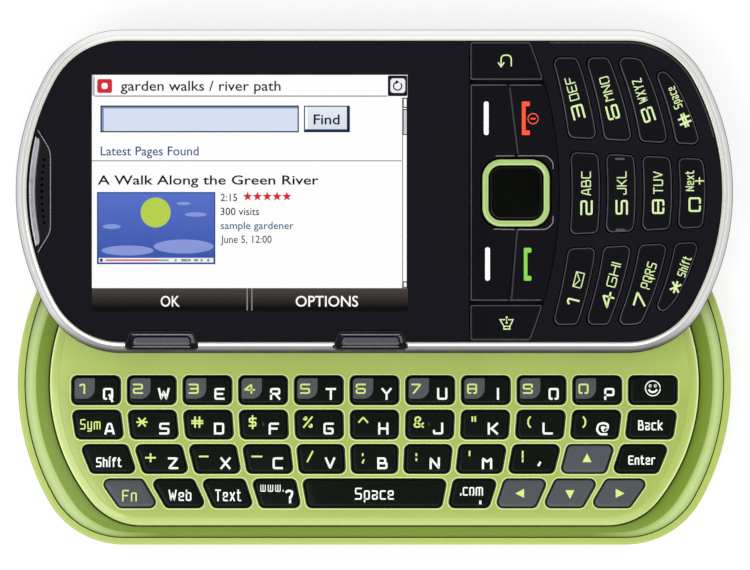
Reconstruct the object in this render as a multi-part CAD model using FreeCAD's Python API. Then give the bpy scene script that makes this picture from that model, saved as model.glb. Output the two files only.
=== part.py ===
import FreeCAD, Part
import math
import os

# A side-sliding phone lying on its back, screen half slid up to show the keyboard.
# X runs along the long side, Y is the sliding direction, Z points out of the screen.
# The origin is the middle of the flat back. All sizes are in millimetres.

V = FreeCAD.Vector

# Plan outline that both halves share: straight sides, tangent corner arcs and end arcs
half_length = 55.0
half_width = 24.8
end_radius = 37.0
corner_radius = 13.3
slide_overlap = 20.0

# Keyboard deck outline, measured in from the plan outline
deck_end_margin = 5.0
deck_side_margin = 3.0
deck_end_radius = 29.0
deck_corner_radius = 10.0

# Clearances
seat_gap = 0.1
key_gap = 0.15
rest_gap = 0.3
running_gap = 0.1
contact_gap = 0.02

# How far cutters reach past what they cut, and how deep fused shapes sink into each other
past = 1.0
weld = 0.1

# Rear housing
housing_floor = 1.0
housing_wall = 2.2
back_round = 2.2
lip_width = 1.05
lip_round = 0.35
lip_drop = 0.6

# Lower stack
battery_thickness = 4.05
battery_gap = 0.25
board_gap = 0.4
board_thickness = 0.7
dome_sheet_thickness = 0.15
mat_sheet_thickness = 0.3
mat_pad_height = 0.25
deck_skin = 0.8
key_stand = 0.3
slope_width = 1.2
slope_drop = 0.35
channel_depth = 0.6
channel_rise = 0.45
surround_flange = 0.5
ledge_drop = 0.15

# Battery, its cover and the parts on the housing floor
battery_border = 2.5
battery_corner = 1.5
cover_end_margin = 26.5
cover_side_margin = 5.3
cover_corner = 4.0
grip_margin = 3.0
grip_width = 2.0
grip_length = 14.0
grip_depth = 0.4
camera_size = 8.0
camera_corner = 0.6
camera_end_margin = 20.0
camera_side_margin = 16.8
camera_lens_radius = 2.6
camera_window_radius = 3.4
camera_window_thickness = 0.6
camera_body_lift = 0.6
speaker_length = 11.0
speaker_width = 15.0
speaker_height = 3.2
speaker_corner = 2.0
speaker_round = 0.4
speaker_end_margin = 18.5
speaker_slot_width = 0.8
speaker_slot_length = 8.0
speaker_slot_pitch = 2.5
motor_radius = 2.0
motor_length = 9.5
motor_end_margin = 25.5
motor_side_margin = 9.8
motor_shaft_radius = 0.4
motor_weight_gap = 0.3
motor_weight_length = 1.6
antenna_length = 7.5
antenna_width = 12.0
antenna_thickness = 0.3
antenna_end_margin = 4.0
antenna_corner = 0.8
antenna_slot_setback = 2.0
antenna_slot_width = 1.0
antenna_slot_margin = 1.5

# Headset jack, charging port and card door
jack_bore_radius = 1.8
jack_bore_length = 14.0
jack_sleeve_radius = 2.25
jack_z = 3.25
jack_body_width = 6.2
jack_body_height = 4.4
jack_end_wall = 0.6
jack_mouth_inset = 0.4
port_end_margin = 23.0
port_width = 8.0
port_height = 3.0
port_depth = 5.5
port_z = 3.4
port_shell = 0.6
port_inset = 0.3
port_tongue_thickness = 0.5
door_end_margin = 25.0
door_length = 13.0
door_height = 2.4
door_bottom = 2.3
door_thickness = 0.8

# Side keys
side_key_z = 4.0
side_key_height = 1.8
side_key_stand = 0.4
side_key_flange = 1.0
side_flange_thickness = 0.45
side_key_round = 0.3
camera_key_end_margin = 23.0
camera_key_length = 8.0
camera_flange_gap = 0.05
volume_end_margin = 25.0
volume_length = 14.0
volume_flange_gap = 0.25

# Screws
screw_radius = 0.7
screw_head_radius = 1.4
screw_head_height = 0.8
screw_sink = 0.4
screw_slot_length = 1.6
screw_slot_width = 0.3
screw_slot_depth = 0.4
boss_radius = 2.0
housing_screw_y = 12.0
housing_screw_inset = 3.3
housing_screw_bite = 1.2
slider_screw_bite = 1.9
slider_screw_end_margin = 6.6
slider_screw_end_y = 11.5
slider_screw_seam_margin = 3.0
slider_screw_seam_side = 6.3

# Keyboard: four rows from the top; keys fill each row between its ends, with a rib between keys.
# A row's lean is how far its key sides slant, for one unit of height, at the reference distance.
row_height = 4.5
row_rib = 0.8
keyboard_bottom_margin = 2.7
key_corner = 0.9
key_edge_round = 0.25
row_key_count = 11
row_end_margins = (3.4, 3.75, 5.5, 9.1)
row_ribs = (1.18, 1.22, 1.09, 1.1)
row_leans = (0.0, 0.136, 0.38, 0.72)
lean_reference = 42.0
side_key_count = 4
bottom_row_index = 3
space_bar_length = 21.4
pad_radius = 1.5

# Slide module
base_plate_end_margin = 25.0
base_plate_margin = 3.9
base_plate_thickness = 0.55
base_plate_sink = 0.6
base_plate_corner = 1.0
shoe_end_margin = 10.0
shoe_side_margin = 0.9
shoe_length = 3.0
shoe_neck_width = 2.0
shoe_head_width = 4.0
shoe_head_thickness = 0.5
rail_plate_thickness = 0.5
rail_end_step = 0.2
rail_side_margin = 3.2
rail_corner = 2.0
rail_window_corner = 1.5
rail_ledge = 1.2
rail_ledge_thickness = 0.4
slot_clearance = 0.15
spring_shoe_margin = 12.0
spring_wire = 0.4
spring_shoulder = 0.45
spring_coil_radius = 2.4
spring_coil_offset = 3.0
spring_eye_radius = 1.2
spring_far_eye_radius = 1.0
spring_boss_radius = 1.6
spring_pin_radius = 0.7

# Upper half stack
slide_gap = 0.25
back_cover_thickness = 0.8
back_cover_round = 0.5
head_clearance = 0.45
keypad_board_thickness = 0.7
display_thickness = 2.5
window_thickness = 1.15
window_gap = 0.15
rim_width = 1.75
rim_stand = 0.3
rim_round = 1.3
skirt_wall = 1.15
board_inset = 3.2

# Display: active area, module borders and the seam of the window
active_side_margin = 6.75
active_end_margin = 11.7
active_seam_margin = 9.5
active_offset_y = -0.25
border_end = 1.6
border_key_side = 3.2
border_side = 1.5
key_bay_lap = 0.6

# Earpiece
recess_half_width = 9.4
recess_depth = 5.4
recess_tip_depth = 4.0
recess_flat = 6.2
grille_drop = 0.4
grille_thickness = 0.6
grille_holes = 11
grille_hole_radius = 0.22
grille_hole_pitch = 0.965
grille_hole_margin = 4.05
receiver_length = 4.2
receiver_width = 11.0
receiver_end_margin = 3.9
receiver_corner = 1.2

# Navigation cluster
cap_depth = 1.25
cap_round = 0.3
pad_gap = 0.35
mat_base_thickness = 0.7
nav_edge_margin = 26.6
nav_edge_radius = 62.0
cluster_width = 13.8
rocker_top_margin = 8.4
rocker_bottom_margin = 8.05
cluster_gap = 0.65
rocker_pad_inset = 3.0
rocker_pad_left = 3.2
rocker_pad_right = 2.2
crease_top_offset = -1.3
crease_mid_offset = 0.1
crease_corner_margin = 0.6
crease_gap = 0.1
cluster_inset = 0.2
ring_margin = 1.75
ring_offset_x = 0.2
ring_y = -0.25
ring_corner = 2.85
ring_width = 0.95
ring_gap = 0.35
ring_stand = 0.3
ring_round = 0.4
ok_stand = 0.1
ok_round = 0.35
collar_width = 0.55
collar_thickness = 0.65
collar_setback = 0.35

# Number keys: equal columns between the navigation edge and the end, with a gap before each,
# and the arc radius of each column's inner and outer edge
number_end_margin = 3.9
column_gaps = (1.8, 1.1, 1.2, 1.15)
column_radii = ((70.0, 62.0), (62.0, 52.0), (52.0, 46.0), (45.0, 36.0))
row_gap = 2.1
field_inset = 4.3
bay_inset = 3.9
row_line_y = 7.4
row_line_offset = -0.3
row_line_slope = 0.053
row_line_margin = 25.0
number_key_corner = 0.9
number_key_round = 0.25
number_key_stand = 0.15

# Edge soft keys below the screen
edge_key_left_inset = 10.7
edge_key_right_inset = 5.7
edge_key_round = 0.2
edge_key_length = 8.6
edge_key_width = 1.1
edge_key_stand = 0.25
edge_key_depth = 2.6
edge_frame_inner = 3.4
edge_frame_outer = 0.4
edge_frame_length = 11.0
edge_frame_taper = 0.8
edge_frame_depth = 3.1
edge_frame_corner = 1.0

# Flex cable
flex_width = 6.0
flex_shoe_margin = 6.5
flex_thickness = 0.15
flex_gap = 0.4
flex_lower_reach = 13.4
flex_upper_reach = 6.0
flex_slot = 3.0

HALF_PLAN = (half_length, half_width, end_radius, corner_radius)
deck_half_length = half_length - deck_end_margin
deck_half_width = half_width - deck_side_margin
DECK_PLAN = (deck_half_length, deck_half_width, deck_end_radius, deck_corner_radius)
slide_travel = 2 * half_width - slide_overlap

# Heights of the lower half
battery_bottom = housing_floor + battery_gap
battery_top = battery_bottom + battery_thickness
board_bottom = battery_top + board_gap
board_top = board_bottom + board_thickness
dome_top = board_top + dome_sheet_thickness
mat_sheet_top = dome_top + mat_sheet_thickness
mat_top = mat_sheet_top + mat_pad_height
key_bottom = mat_top + rest_gap
deck_underside = key_bottom - seat_gap
deck_top = deck_underside + deck_skin
key_top = deck_top + key_stand
lip_top = deck_top - lip_drop
ledge_top = board_bottom - ledge_drop
deck_bottom = ledge_top + surround_flange
channel_low = lip_top - channel_depth
channel_high = channel_low + channel_rise
base_plate_bottom = deck_top - base_plate_sink
base_plate_top = base_plate_bottom + base_plate_thickness

# Heights of the upper half
upper_bottom = key_top + slide_gap
rail_bottom = upper_bottom + rail_ledge_thickness
rail_top = rail_bottom + rail_plate_thickness
back_cover_top = upper_bottom + back_cover_thickness
head_bottom = rail_top + running_gap
head_top = head_bottom + shoe_head_thickness
keypad_board_bottom = head_top + head_clearance
keypad_board_top = keypad_board_bottom + keypad_board_thickness
cover_bottom = keypad_board_top + seat_gap
window_bottom = cover_bottom + display_thickness + window_gap
face_top = window_bottom + window_thickness
rim_top = face_top + rim_stand
cap_bottom = face_top - cap_depth
pad_top = cap_bottom - pad_gap
mat_base_top = keypad_board_top + mat_base_thickness
slide_middle_y = slide_travel / 2


def arc(start, middle, end):
    return Part.Arc(start, middle, end).toShape()


def line(start, end):
    return Part.LineSegment(start, end).toShape()


def plan_wire(plan, inset, z):
    """The closed plan outline, moved in by inset, at height z."""
    length, width, end_r, corner_r = plan
    rise = width - corner_r
    run = math.sqrt((end_r - corner_r) ** 2 - rise ** 2)
    corner_x = length - end_r + run
    meet_x = length - end_r + (end_r - inset) * run / (end_r - corner_r)
    meet_y = (end_r - inset) * rise / (end_r - corner_r)
    turn = (math.pi / 2 + math.atan2(rise, run)) / 2
    middle_x = corner_x + (corner_r - inset) * math.cos(turn)
    middle_y = rise + (corner_r - inset) * math.sin(turn)
    tip = length - inset
    side = width - inset
    edges = [line(V(corner_x, side, z), V(-corner_x, side, z))]
    edges.append(arc(V(-corner_x, side, z), V(-middle_x, middle_y, z), V(-meet_x, meet_y, z)))
    edges.append(arc(V(-meet_x, meet_y, z), V(-tip, 0, z), V(-meet_x, -meet_y, z)))
    edges.append(arc(V(-meet_x, -meet_y, z), V(-middle_x, -middle_y, z), V(-corner_x, -side, z)))
    edges.append(line(V(-corner_x, -side, z), V(corner_x, -side, z)))
    edges.append(arc(V(corner_x, -side, z), V(middle_x, -middle_y, z), V(meet_x, -meet_y, z)))
    edges.append(arc(V(meet_x, -meet_y, z), V(tip, 0, z), V(meet_x, meet_y, z)))
    edges.append(arc(V(meet_x, meet_y, z), V(middle_x, middle_y, z), V(corner_x, side, z)))
    return Part.Wire(edges)


def plan_prism(plan, inset, bottom, top):
    return Part.Face(plan_wire(plan, inset, bottom)).extrude(V(0, 0, top - bottom))


def plan_taper(plan_low, inset_low, low, plan_high, inset_high, high):
    """A solid whose outline changes evenly from one plan to another."""
    wires = [plan_wire(plan_low, inset_low, low), plan_wire(plan_high, inset_high, high)]
    return Part.makeLoft(wires, True, True)


def block(x0, x1, y0, y1, z0, z1):
    return Part.makeBox(x1 - x0, y1 - y0, z1 - z0, V(x0, y0, z0))


def disc(x, y, radius, bottom, top):
    return Part.makeCylinder(radius, top - bottom, V(x, y, bottom))


def edges_at(shape, z):
    """Edges that lie flat at height z."""
    found = []
    for edge in shape.Edges:
        box = edge.BoundBox
        if abs(box.ZMin - z) < 0.01 and abs(box.ZMax - z) < 0.01:
            found.append(edge)
    return found


def sharp_upright_edges(shape):
    """Upright edges where two side faces meet at a clear angle."""
    found = []
    for edge in shape.Edges:
        box = edge.BoundBox
        if box.ZLength < 0.05 or box.XLength > 0.01 or box.YLength > 0.01:
            continue
        middle = edge.valueAt((edge.FirstParameter + edge.LastParameter) / 2)
        normals = []
        for face in shape.ancestorsOfType(edge, Part.Face):
            u, v = face.Surface.parameter(middle)
            normals.append(face.normalAt(u, v))
        if normals[0].getAngle(normals[1]) > math.radians(20):
            found.append(edge)
    return found


def rounded(shape, radius, edges):
    """The solid with these edges rounded."""
    return shape.makeFillet(radius, edges).Solids[0]


def polygon_prism(points, bottom, top, corner=0.0):
    corners = [V(x, y, bottom) for x, y in points]
    face = Part.Face(Part.makePolygon(corners + corners[:1]))
    solid = face.extrude(V(0, 0, top - bottom))
    if corner > 0:
        solid = rounded(solid, corner, sharp_upright_edges(solid))
    return solid


def rounded_block(x0, x1, y0, y1, z0, z1, corner):
    return polygon_prism([(x0, y0), (x1, y0), (x1, y1), (x0, y1)], z0, z1, corner)


def soft_top(shape, z, radius):
    return rounded(shape, radius, edges_at(shape, z))


def single(shape):
    """The one solid of a boolean result, without leftover seams."""
    return shape.removeSplitter().Solids[0]


def plan_edge_x(plan, inset, y):
    """X of the outline's end arc at a given Y."""
    return plan[0] - plan[2] + math.sqrt((plan[2] - inset) ** 2 - y ** 2)


# ---- Keyboard layout -------------------------------------------------------------------

row_pitch = row_height + row_rib
first_row_top = -deck_half_width + keyboard_bottom_margin + bottom_row_index * row_pitch + row_height


def key_polygon(left, right, row, shrink):
    """Corners of one key; its sides lean towards the middle at the lower end."""
    top = first_row_top - row * row_pitch
    middle = top - row_height / 2
    reach = row_height / 2 - shrink
    corners = []
    x0 = left + shrink
    x1 = right - shrink
    for x, y_step in ((x0, reach), (x1, reach), (x1, -reach), (x0, -reach)):
        lean = row_leans[row] * x / lean_reference
        corners.append((x + lean * y_step, middle + y_step))
    return corners


def filled_spans(start, end, count, rib):
    """Equal spans from start to end with a rib between each two."""
    width = (end - start - rib * (count - 1)) / count
    return [(start + index * (width + rib), start + index * (width + rib) + width) for index in range(count)]


def row_spans(row):
    """Left and right side of every key of an upper row."""
    end = deck_half_length - row_end_margins[row]
    return filled_spans(-end, end, row_key_count, row_ribs[row])


def bottom_row_spans():
    """Left and right side of the keys beside the space bar, from the left end."""
    rib = row_ribs[bottom_row_index]
    start = space_bar_length / 2 + rib
    end = deck_half_length - row_end_margins[bottom_row_index]
    left = filled_spans(-end, -start, side_key_count, rib)
    return left + filled_spans(start, end, side_key_count, rib)


def keyboard_groups():
    """Key groups by node name; each key is a span and its row."""
    bottom = [(left, right, bottom_row_index) for left, right in bottom_row_spans()]
    third = [(left, right, 2) for left, right in row_spans(2)]
    groups = {}
    groups["keys_row_q"] = [(left, right, 0) for left, right in row_spans(0)]
    groups["keys_row_a"] = [(left, right, 1) for left, right in row_spans(1)]
    groups["keys_row_z"] = third[:9] + third[10:]
    groups["keys_row_bottom"] = bottom[:5]
    groups["arrow_keys"] = third[9:10] + bottom[5:]
    groups["space_bar"] = [(-space_bar_length / 2, space_bar_length / 2, bottom_row_index)]
    return groups


def key_centre(left, right, row):
    return ((left + right) / 2, first_row_top - row * row_pitch - row_height / 2)


def key_group(keys):
    solids = []
    for left, right, row in keys:
        cap = polygon_prism(key_polygon(left, right, row, key_gap), key_bottom, key_top, key_corner - key_gap)
        solids.append(soft_top(cap, key_top, key_edge_round))
    return Part.makeCompound(solids)


# ---- Lower half ------------------------------------------------------------------------

jack_mouth_x = -half_length + jack_mouth_inset
jack_end_x = jack_mouth_x + jack_bore_length
camera_x = -half_length + camera_end_margin
camera_y = half_width - camera_side_margin
speaker_x = half_length - speaker_end_margin
motor_x = half_length - motor_end_margin
motor_y = half_width - motor_side_margin
port_x = -half_length + port_end_margin
door_x = half_length - door_end_margin
camera_key_x = -half_length + camera_key_end_margin
volume_x = half_length - volume_end_margin
cover_half_length = half_length - cover_end_margin
cover_half_width = half_width - cover_side_margin
housing_screw_x = plan_edge_x(HALF_PLAN, housing_screw_inset, housing_screw_y)
wall_inner_y = half_width - housing_wall
base_plate_length = 2 * (half_length - base_plate_end_margin)
base_plate_width = slide_overlap - 2 * base_plate_margin
module_y0 = slide_middle_y - base_plate_width / 2
module_y1 = slide_middle_y + base_plate_width / 2
shoe_x = base_plate_length / 2 - shoe_end_margin
shoe_spacing = base_plate_width - shoe_length - 2 * shoe_side_margin
spring_far_x = shoe_x - spring_shoe_margin
spring_pivot_x = -spring_far_x
flex_x = -shoe_x + flex_shoe_margin
rail_half_length = base_plate_length / 2 - rail_end_step
rail_half_width = half_width - rail_side_margin


def housing_screw_places():
    return [(sx * housing_screw_x, sy * housing_screw_y) for sx in (-1, 1) for sy in (-1, 1)]


def speaker_slots():
    slots = []
    for step in (-1, 0, 1):
        x = speaker_x + step * speaker_slot_pitch
        half = speaker_slot_width / 2
        reach = speaker_slot_length / 2
        slots.append(block(x - half, x + half, -reach, reach, -past, housing_floor + past / 2))
    return slots


def side_key_hole(x, length):
    half = length / 2 + key_gap
    low = side_key_z - side_key_height / 2 - key_gap
    high = side_key_z + side_key_height / 2 + key_gap
    return block(x - half, x + half, wall_inner_y - past, half_width + past, low, high)


def near_wall_hole(x, half, low, high):
    return block(x - half, x + half, -half_width - past, -wall_inner_y + past, low, high)


def rear_housing():
    body = plan_prism(HALF_PLAN, 0, 0, lip_top)
    body = rounded(body, back_round, edges_at(body, 0))
    body = soft_top(body, lip_top, lip_round)
    body = body.cut(plan_prism(HALF_PLAN, lip_width, ledge_top, lip_top + past))
    body = body.cut(plan_prism(HALF_PLAN, housing_wall, housing_floor, ledge_top + past))
    bosses = [disc(x, y, boss_radius, housing_floor / 2, ledge_top) for x, y in housing_screw_places()]
    inside = plan_prism(HALF_PLAN, lip_width, 0, ledge_top)
    body = body.fuse([boss.common(inside) for boss in bosses])
    cuts = []
    for x, y in housing_screw_places():
        cuts.append(disc(x, y, screw_radius + seat_gap, -past, ledge_top + past))
        cuts.append(disc(x, y, screw_head_radius + seat_gap, -past, screw_sink + screw_head_height))
    half_l = cover_half_length + seat_gap
    half_w = cover_half_width + seat_gap
    cuts.append(rounded_block(-half_l, half_l, -half_w, half_w, -past, housing_floor + past, cover_corner))
    cuts.append(disc(camera_x, camera_y, camera_window_radius + seat_gap, -past, housing_floor + past))
    cuts.extend(speaker_slots())
    sleeve_hole = jack_sleeve_radius + seat_gap
    hole_start = V(-half_length - past, 0, jack_z)
    cuts.append(Part.makeCylinder(sleeve_hole, housing_wall + 2 * past, hole_start, V(1, 0, 0)))
    port_low = port_z - port_height / 2 - seat_gap
    port_high = port_z + port_height / 2 + seat_gap
    cuts.append(near_wall_hole(port_x, port_width / 2 + seat_gap, port_low, port_high))
    door_top = door_bottom + door_height + key_gap
    cuts.append(near_wall_hole(door_x, door_length / 2 + key_gap, door_bottom, door_top))
    cuts.append(side_key_hole(camera_key_x, camera_key_length))
    cuts.append(side_key_hole(volume_x, volume_length))
    return single(body.cut(cuts))


def battery_cover():
    half_l = cover_half_length
    half_w = cover_half_width
    plate = rounded_block(-half_l, half_l, -half_w, half_w, 0, housing_floor, cover_corner)
    x0 = -half_l + grip_margin
    half = grip_length / 2
    grip = rounded_block(x0, x0 + grip_width, -half, half, -past, grip_depth, grip_width * 0.45)
    return single(plate.cut(grip))


def battery():
    half_l = cover_half_length - battery_border
    half_w = cover_half_width - battery_border
    return rounded_block(-half_l, half_l, -half_w, half_w, battery_bottom, battery_top, battery_corner)


def deck_surround():
    outer_inset = lip_width + seat_gap
    body = plan_prism(HALF_PLAN, outer_inset, ledge_top, channel_low)
    body = body.fuse(plan_taper(HALF_PLAN, outer_inset, channel_low, DECK_PLAN, -key_gap, channel_high))
    body = body.cut(plan_prism(DECK_PLAN, -key_gap, deck_bottom, channel_high + past))
    body = body.cut(plan_prism(DECK_PLAN, slope_width, ledge_top - past, deck_bottom + past))
    bore_top = ledge_top + housing_screw_bite + seat_gap
    radius = screw_radius + contact_gap
    bores = [disc(x, y, radius, ledge_top - past, bore_top) for x, y in housing_screw_places()]
    return single(body.cut(bores))


def keyboard_deck():
    body = plan_prism(DECK_PLAN, 0, deck_bottom, deck_top - slope_drop)
    body = body.fuse(plan_taper(DECK_PLAN, 0, deck_top - slope_drop, DECK_PLAN, slope_width, deck_top))
    inner = slope_width + seat_gap
    cavity = plan_prism(DECK_PLAN, inner, deck_bottom - past, deck_underside)
    zone_end = module_y0 - slope_width
    key_zone = block(-half_length, half_length, -half_width, zone_end, deck_bottom - past, deck_underside)
    body = body.cut(cavity.common(key_zone))
    body = body.cut(plan_prism(DECK_PLAN, inner, deck_bottom - past, dome_top + seat_gap))
    half = base_plate_length / 2 + seat_gap
    seat_y0 = module_y0 - seat_gap
    seat_y1 = module_y1 + seat_gap
    body = body.cut(block(-half, half, seat_y0, seat_y1, base_plate_bottom, deck_top + past))
    openings = []
    for keys in keyboard_groups().values():
        for left, right, row in keys:
            corners = key_polygon(left, right, row, 0)
            openings.append(polygon_prism(corners, deck_underside - past, deck_top + past, key_corner))
    return single(body.cut(openings))


def main_board():
    return plan_prism(DECK_PLAN, slope_width + 2 * seat_gap, board_bottom, board_top)


def key_zone_sheet(bottom, top):
    sheet = plan_prism(DECK_PLAN, slope_width + 3 * seat_gap, bottom, top)
    end = module_y0 - 2 * slope_width
    return sheet.common(block(-half_length, half_length, -half_width, end, bottom, top))


def keyboard_dome_sheet():
    return single(key_zone_sheet(board_top, dome_top))


def keyboard_mat():
    pads = []
    for keys in keyboard_groups().values():
        for key in keys:
            x, y = key_centre(*key)
            pads.append(disc(x, y, pad_radius, mat_sheet_top - weld, mat_top))
    return single(key_zone_sheet(dome_top, mat_sheet_top).fuse(pads))


def camera_module():
    half = camera_size / 2
    x0 = camera_x - half
    y0 = camera_y - half
    body_bottom = housing_floor + camera_body_lift
    body = rounded_block(x0, x0 + camera_size, y0, y0 + camera_size, body_bottom, battery_top, camera_corner)
    barrel = disc(camera_x, camera_y, camera_lens_radius, camera_window_thickness + seat_gap, body_bottom)
    return single(body.fuse(barrel))


def camera_window():
    return disc(camera_x, camera_y, camera_window_radius, 0, camera_window_thickness)


def loudspeaker():
    x0 = speaker_x - speaker_length / 2
    y1 = speaker_width / 2
    top = housing_floor + speaker_height
    body = rounded_block(x0, x0 + speaker_length, -y1, y1, housing_floor, top, speaker_corner)
    return soft_top(body, top, speaker_round)


def vibration_motor():
    z = housing_floor + motor_radius
    can = Part.makeCylinder(motor_radius, motor_length, V(motor_x, motor_y, z), V(1, 0, 0))
    shaft_x = motor_x + motor_length - weld
    weight_x = motor_x + motor_length + motor_weight_gap
    weight_end = weight_x + motor_weight_length
    shaft_length = weight_end + weld - shaft_x
    weight_radius = motor_radius - rest_gap
    shaft = Part.makeCylinder(motor_shaft_radius, shaft_length, V(shaft_x, motor_y, z), V(1, 0, 0))
    weight = Part.makeCylinder(weight_radius, motor_weight_length, V(weight_x, motor_y, z), V(1, 0, 0))
    half = motor_radius
    weight = weight.cut(block(weight_x, weight_end, motor_y - half, motor_y + half, z + rest_gap, z + half))
    return single(can.fuse([shaft, weight]))


def antenna():
    x1 = half_length - antenna_end_margin
    x0 = x1 - antenna_length
    half = antenna_width / 2
    top = housing_floor + antenna_thickness
    plate = rounded_block(x0, x1, -half, half, housing_floor, top, antenna_corner)
    slot_x0 = x0 + antenna_slot_setback
    slot_y0 = -half + antenna_slot_margin
    slot_x1 = slot_x0 + antenna_slot_width
    slot = block(slot_x0, slot_x1, slot_y0, half + past, housing_floor - past, housing_floor + past)
    return single(plate.cut(slot))


def headset_jack():
    sleeve_end = -half_length + housing_wall + rest_gap
    half = jack_body_width / 2
    low = jack_z - jack_body_height / 2
    body = block(sleeve_end, jack_end_x + jack_end_wall, -half, half, low, low + jack_body_height)
    mouth = V(jack_mouth_x, 0, jack_z)
    sleeve = Part.makeCylinder(jack_sleeve_radius, sleeve_end - jack_mouth_x, mouth, V(1, 0, 0))
    bore = Part.makeCylinder(jack_bore_radius, jack_bore_length, mouth, V(1, 0, 0))
    return single(body.fuse(sleeve).cut(bore))


def charging_port():
    half = port_width / 2
    low = port_z - port_height / 2
    y0 = -half_width + port_inset
    shell = block(port_x - half, port_x + half, y0, y0 + port_depth, low, low + port_height)
    mouth = block(
        port_x - half + port_shell, port_x + half - port_shell, y0 - past, y0 + port_depth - port_shell,
        low + port_shell, low + port_height - port_shell)
    tongue_y = y0 + port_shell + port_inset
    tongue_low = port_z - port_tongue_thickness / 2
    tongue_high = port_z + port_tongue_thickness / 2
    tongue = block(port_x - half / 2, port_x + half / 2, tongue_y, y0 + port_depth, tongue_low, tongue_high)
    return single(shell.cut(mouth).fuse(tongue))


def memory_card_door():
    x0 = door_x - door_length / 2
    y1 = -half_width + door_thickness
    return block(x0, x0 + door_length, -half_width, y1, door_bottom, door_bottom + door_height)


def side_key(x, length, flange_gap):
    half = length / 2
    low = side_key_z - side_key_height / 2
    high = side_key_z + side_key_height / 2
    flange_y = wall_inner_y - flange_gap
    cap = block(x - half, x + half, flange_y - weld, half_width + side_key_stand, low, high)
    outer = [edge for edge in cap.Edges if abs(edge.BoundBox.YMin - half_width - side_key_stand) < 0.01]
    cap = rounded(cap, side_key_round, outer)
    flange = block(
        x - half - side_key_flange, x + half + side_key_flange, flange_y - side_flange_thickness, flange_y,
        low - side_key_flange / 2, high + side_key_flange / 2)
    return single(cap.fuse(flange))


def screw(x, y, head_bottom_z, length):
    head = disc(x, y, screw_head_radius, head_bottom_z, head_bottom_z + screw_head_height)
    shank = disc(x, y, screw_radius, head_bottom_z, head_bottom_z + length)
    reach = screw_slot_length / 2
    half = screw_slot_width / 2
    low = head_bottom_z - past
    high = head_bottom_z + screw_slot_depth
    slots = [block(x - reach, x + reach, y - half, y + half, low, high)]
    slots.append(block(x - half, x + half, y - reach, y + reach, low, high))
    return single(head.fuse(shank).cut(slots))


def housing_screws():
    length = ledge_top + housing_screw_bite - screw_sink
    return Part.makeCompound([screw(x, y, screw_sink, length) for x, y in housing_screw_places()])


# ---- Slide module ----------------------------------------------------------------------

def shoe_places():
    half = shoe_spacing / 2
    return [(sx * shoe_x, slide_middle_y + sy * half) for sx in (-1, 1) for sy in (-1, 1)]


def slide_base_plate():
    half = base_plate_length / 2
    low = base_plate_bottom
    top = base_plate_top
    plate = rounded_block(-half, half, module_y0, module_y1, low, top, base_plate_corner)
    pieces = []
    for x, y in shoe_places():
        y0 = y - shoe_length / 2
        y1 = y + shoe_length / 2
        neck = shoe_neck_width / 2
        head = shoe_head_width / 2
        pieces.append(block(x - neck, x + neck, y0, y1, top - weld, head_bottom + weld))
        pieces.append(block(x - head, x + head, y0, y1, head_bottom, head_top))
    shoulder = top + spring_shoulder
    pin_top = rail_bottom - running_gap
    pieces.append(disc(spring_pivot_x, slide_middle_y, spring_boss_radius, top - weld, shoulder))
    pieces.append(disc(spring_pivot_x, slide_middle_y, spring_pin_radius, top, pin_top))
    return single(plate.fuse(pieces))


def slide_rail_plate():
    half_l = rail_half_length
    half_w = rail_half_width
    plate = rounded_block(-half_l, half_l, -half_w, half_w, rail_bottom, rail_top, rail_corner)
    slot_half = shoe_neck_width / 2 + slot_clearance
    slot_end = slide_middle_y + shoe_spacing / 2 + shoe_length / 2 + slot_clearance
    low = rail_bottom - past
    high = rail_top + past
    cuts = [block(x - slot_half, x + slot_half, -slot_end, slot_end, low, high) for x in (-shoe_x, shoe_x)]
    flex_half = flex_width / 2 + flex_gap
    slot_y = flex_slot / 2
    cuts.append(block(flex_x - flex_half, flex_x + flex_half, -slot_y, slot_y, low, high))
    return single(plate.cut(cuts))


def bar(start, end, width, bottom, top):
    """A straight flat bar between two points."""
    dx = end[0] - start[0]
    dy = end[1] - start[1]
    length = math.hypot(dx, dy)
    nx = -dy / length * width / 2
    ny = dx / length * width / 2
    corners = [(start[0] + nx, start[1] + ny), (start[0] - nx, start[1] - ny)]
    corners += [(end[0] - nx, end[1] - ny), (end[0] + nx, end[1] + ny)]
    return polygon_prism(corners, bottom, top)


def slide_spring():
    bottom = base_plate_top + spring_shoulder + contact_gap
    top = bottom + spring_wire
    pivot = (spring_pivot_x, slide_middle_y)
    far = (spring_far_x, slide_travel)
    reach = math.hypot(far[0] - pivot[0], far[1] - pivot[1])
    along = ((far[0] - pivot[0]) / reach, (far[1] - pivot[1]) / reach)
    coil = (
        (pivot[0] + far[0]) / 2 - along[1] * spring_coil_offset,
        (pivot[1] + far[1]) / 2 + along[0] * spring_coil_offset)
    shape = bar(pivot, coil, spring_wire, bottom, top)
    shape = shape.fuse(bar(coil, far, spring_wire, bottom, top))
    eyes = ((pivot, spring_eye_radius), (coil, spring_coil_radius), (far, spring_far_eye_radius))
    shape = shape.fuse([disc(x, y, radius, bottom, top) for (x, y), radius in eyes])
    holes = [disc(x, y, radius - spring_wire, bottom - past, top + past) for (x, y), radius in eyes]
    return single(shape.cut(holes))


# ---- Upper half, in its own place centred on the slide ---------------------------------

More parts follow.
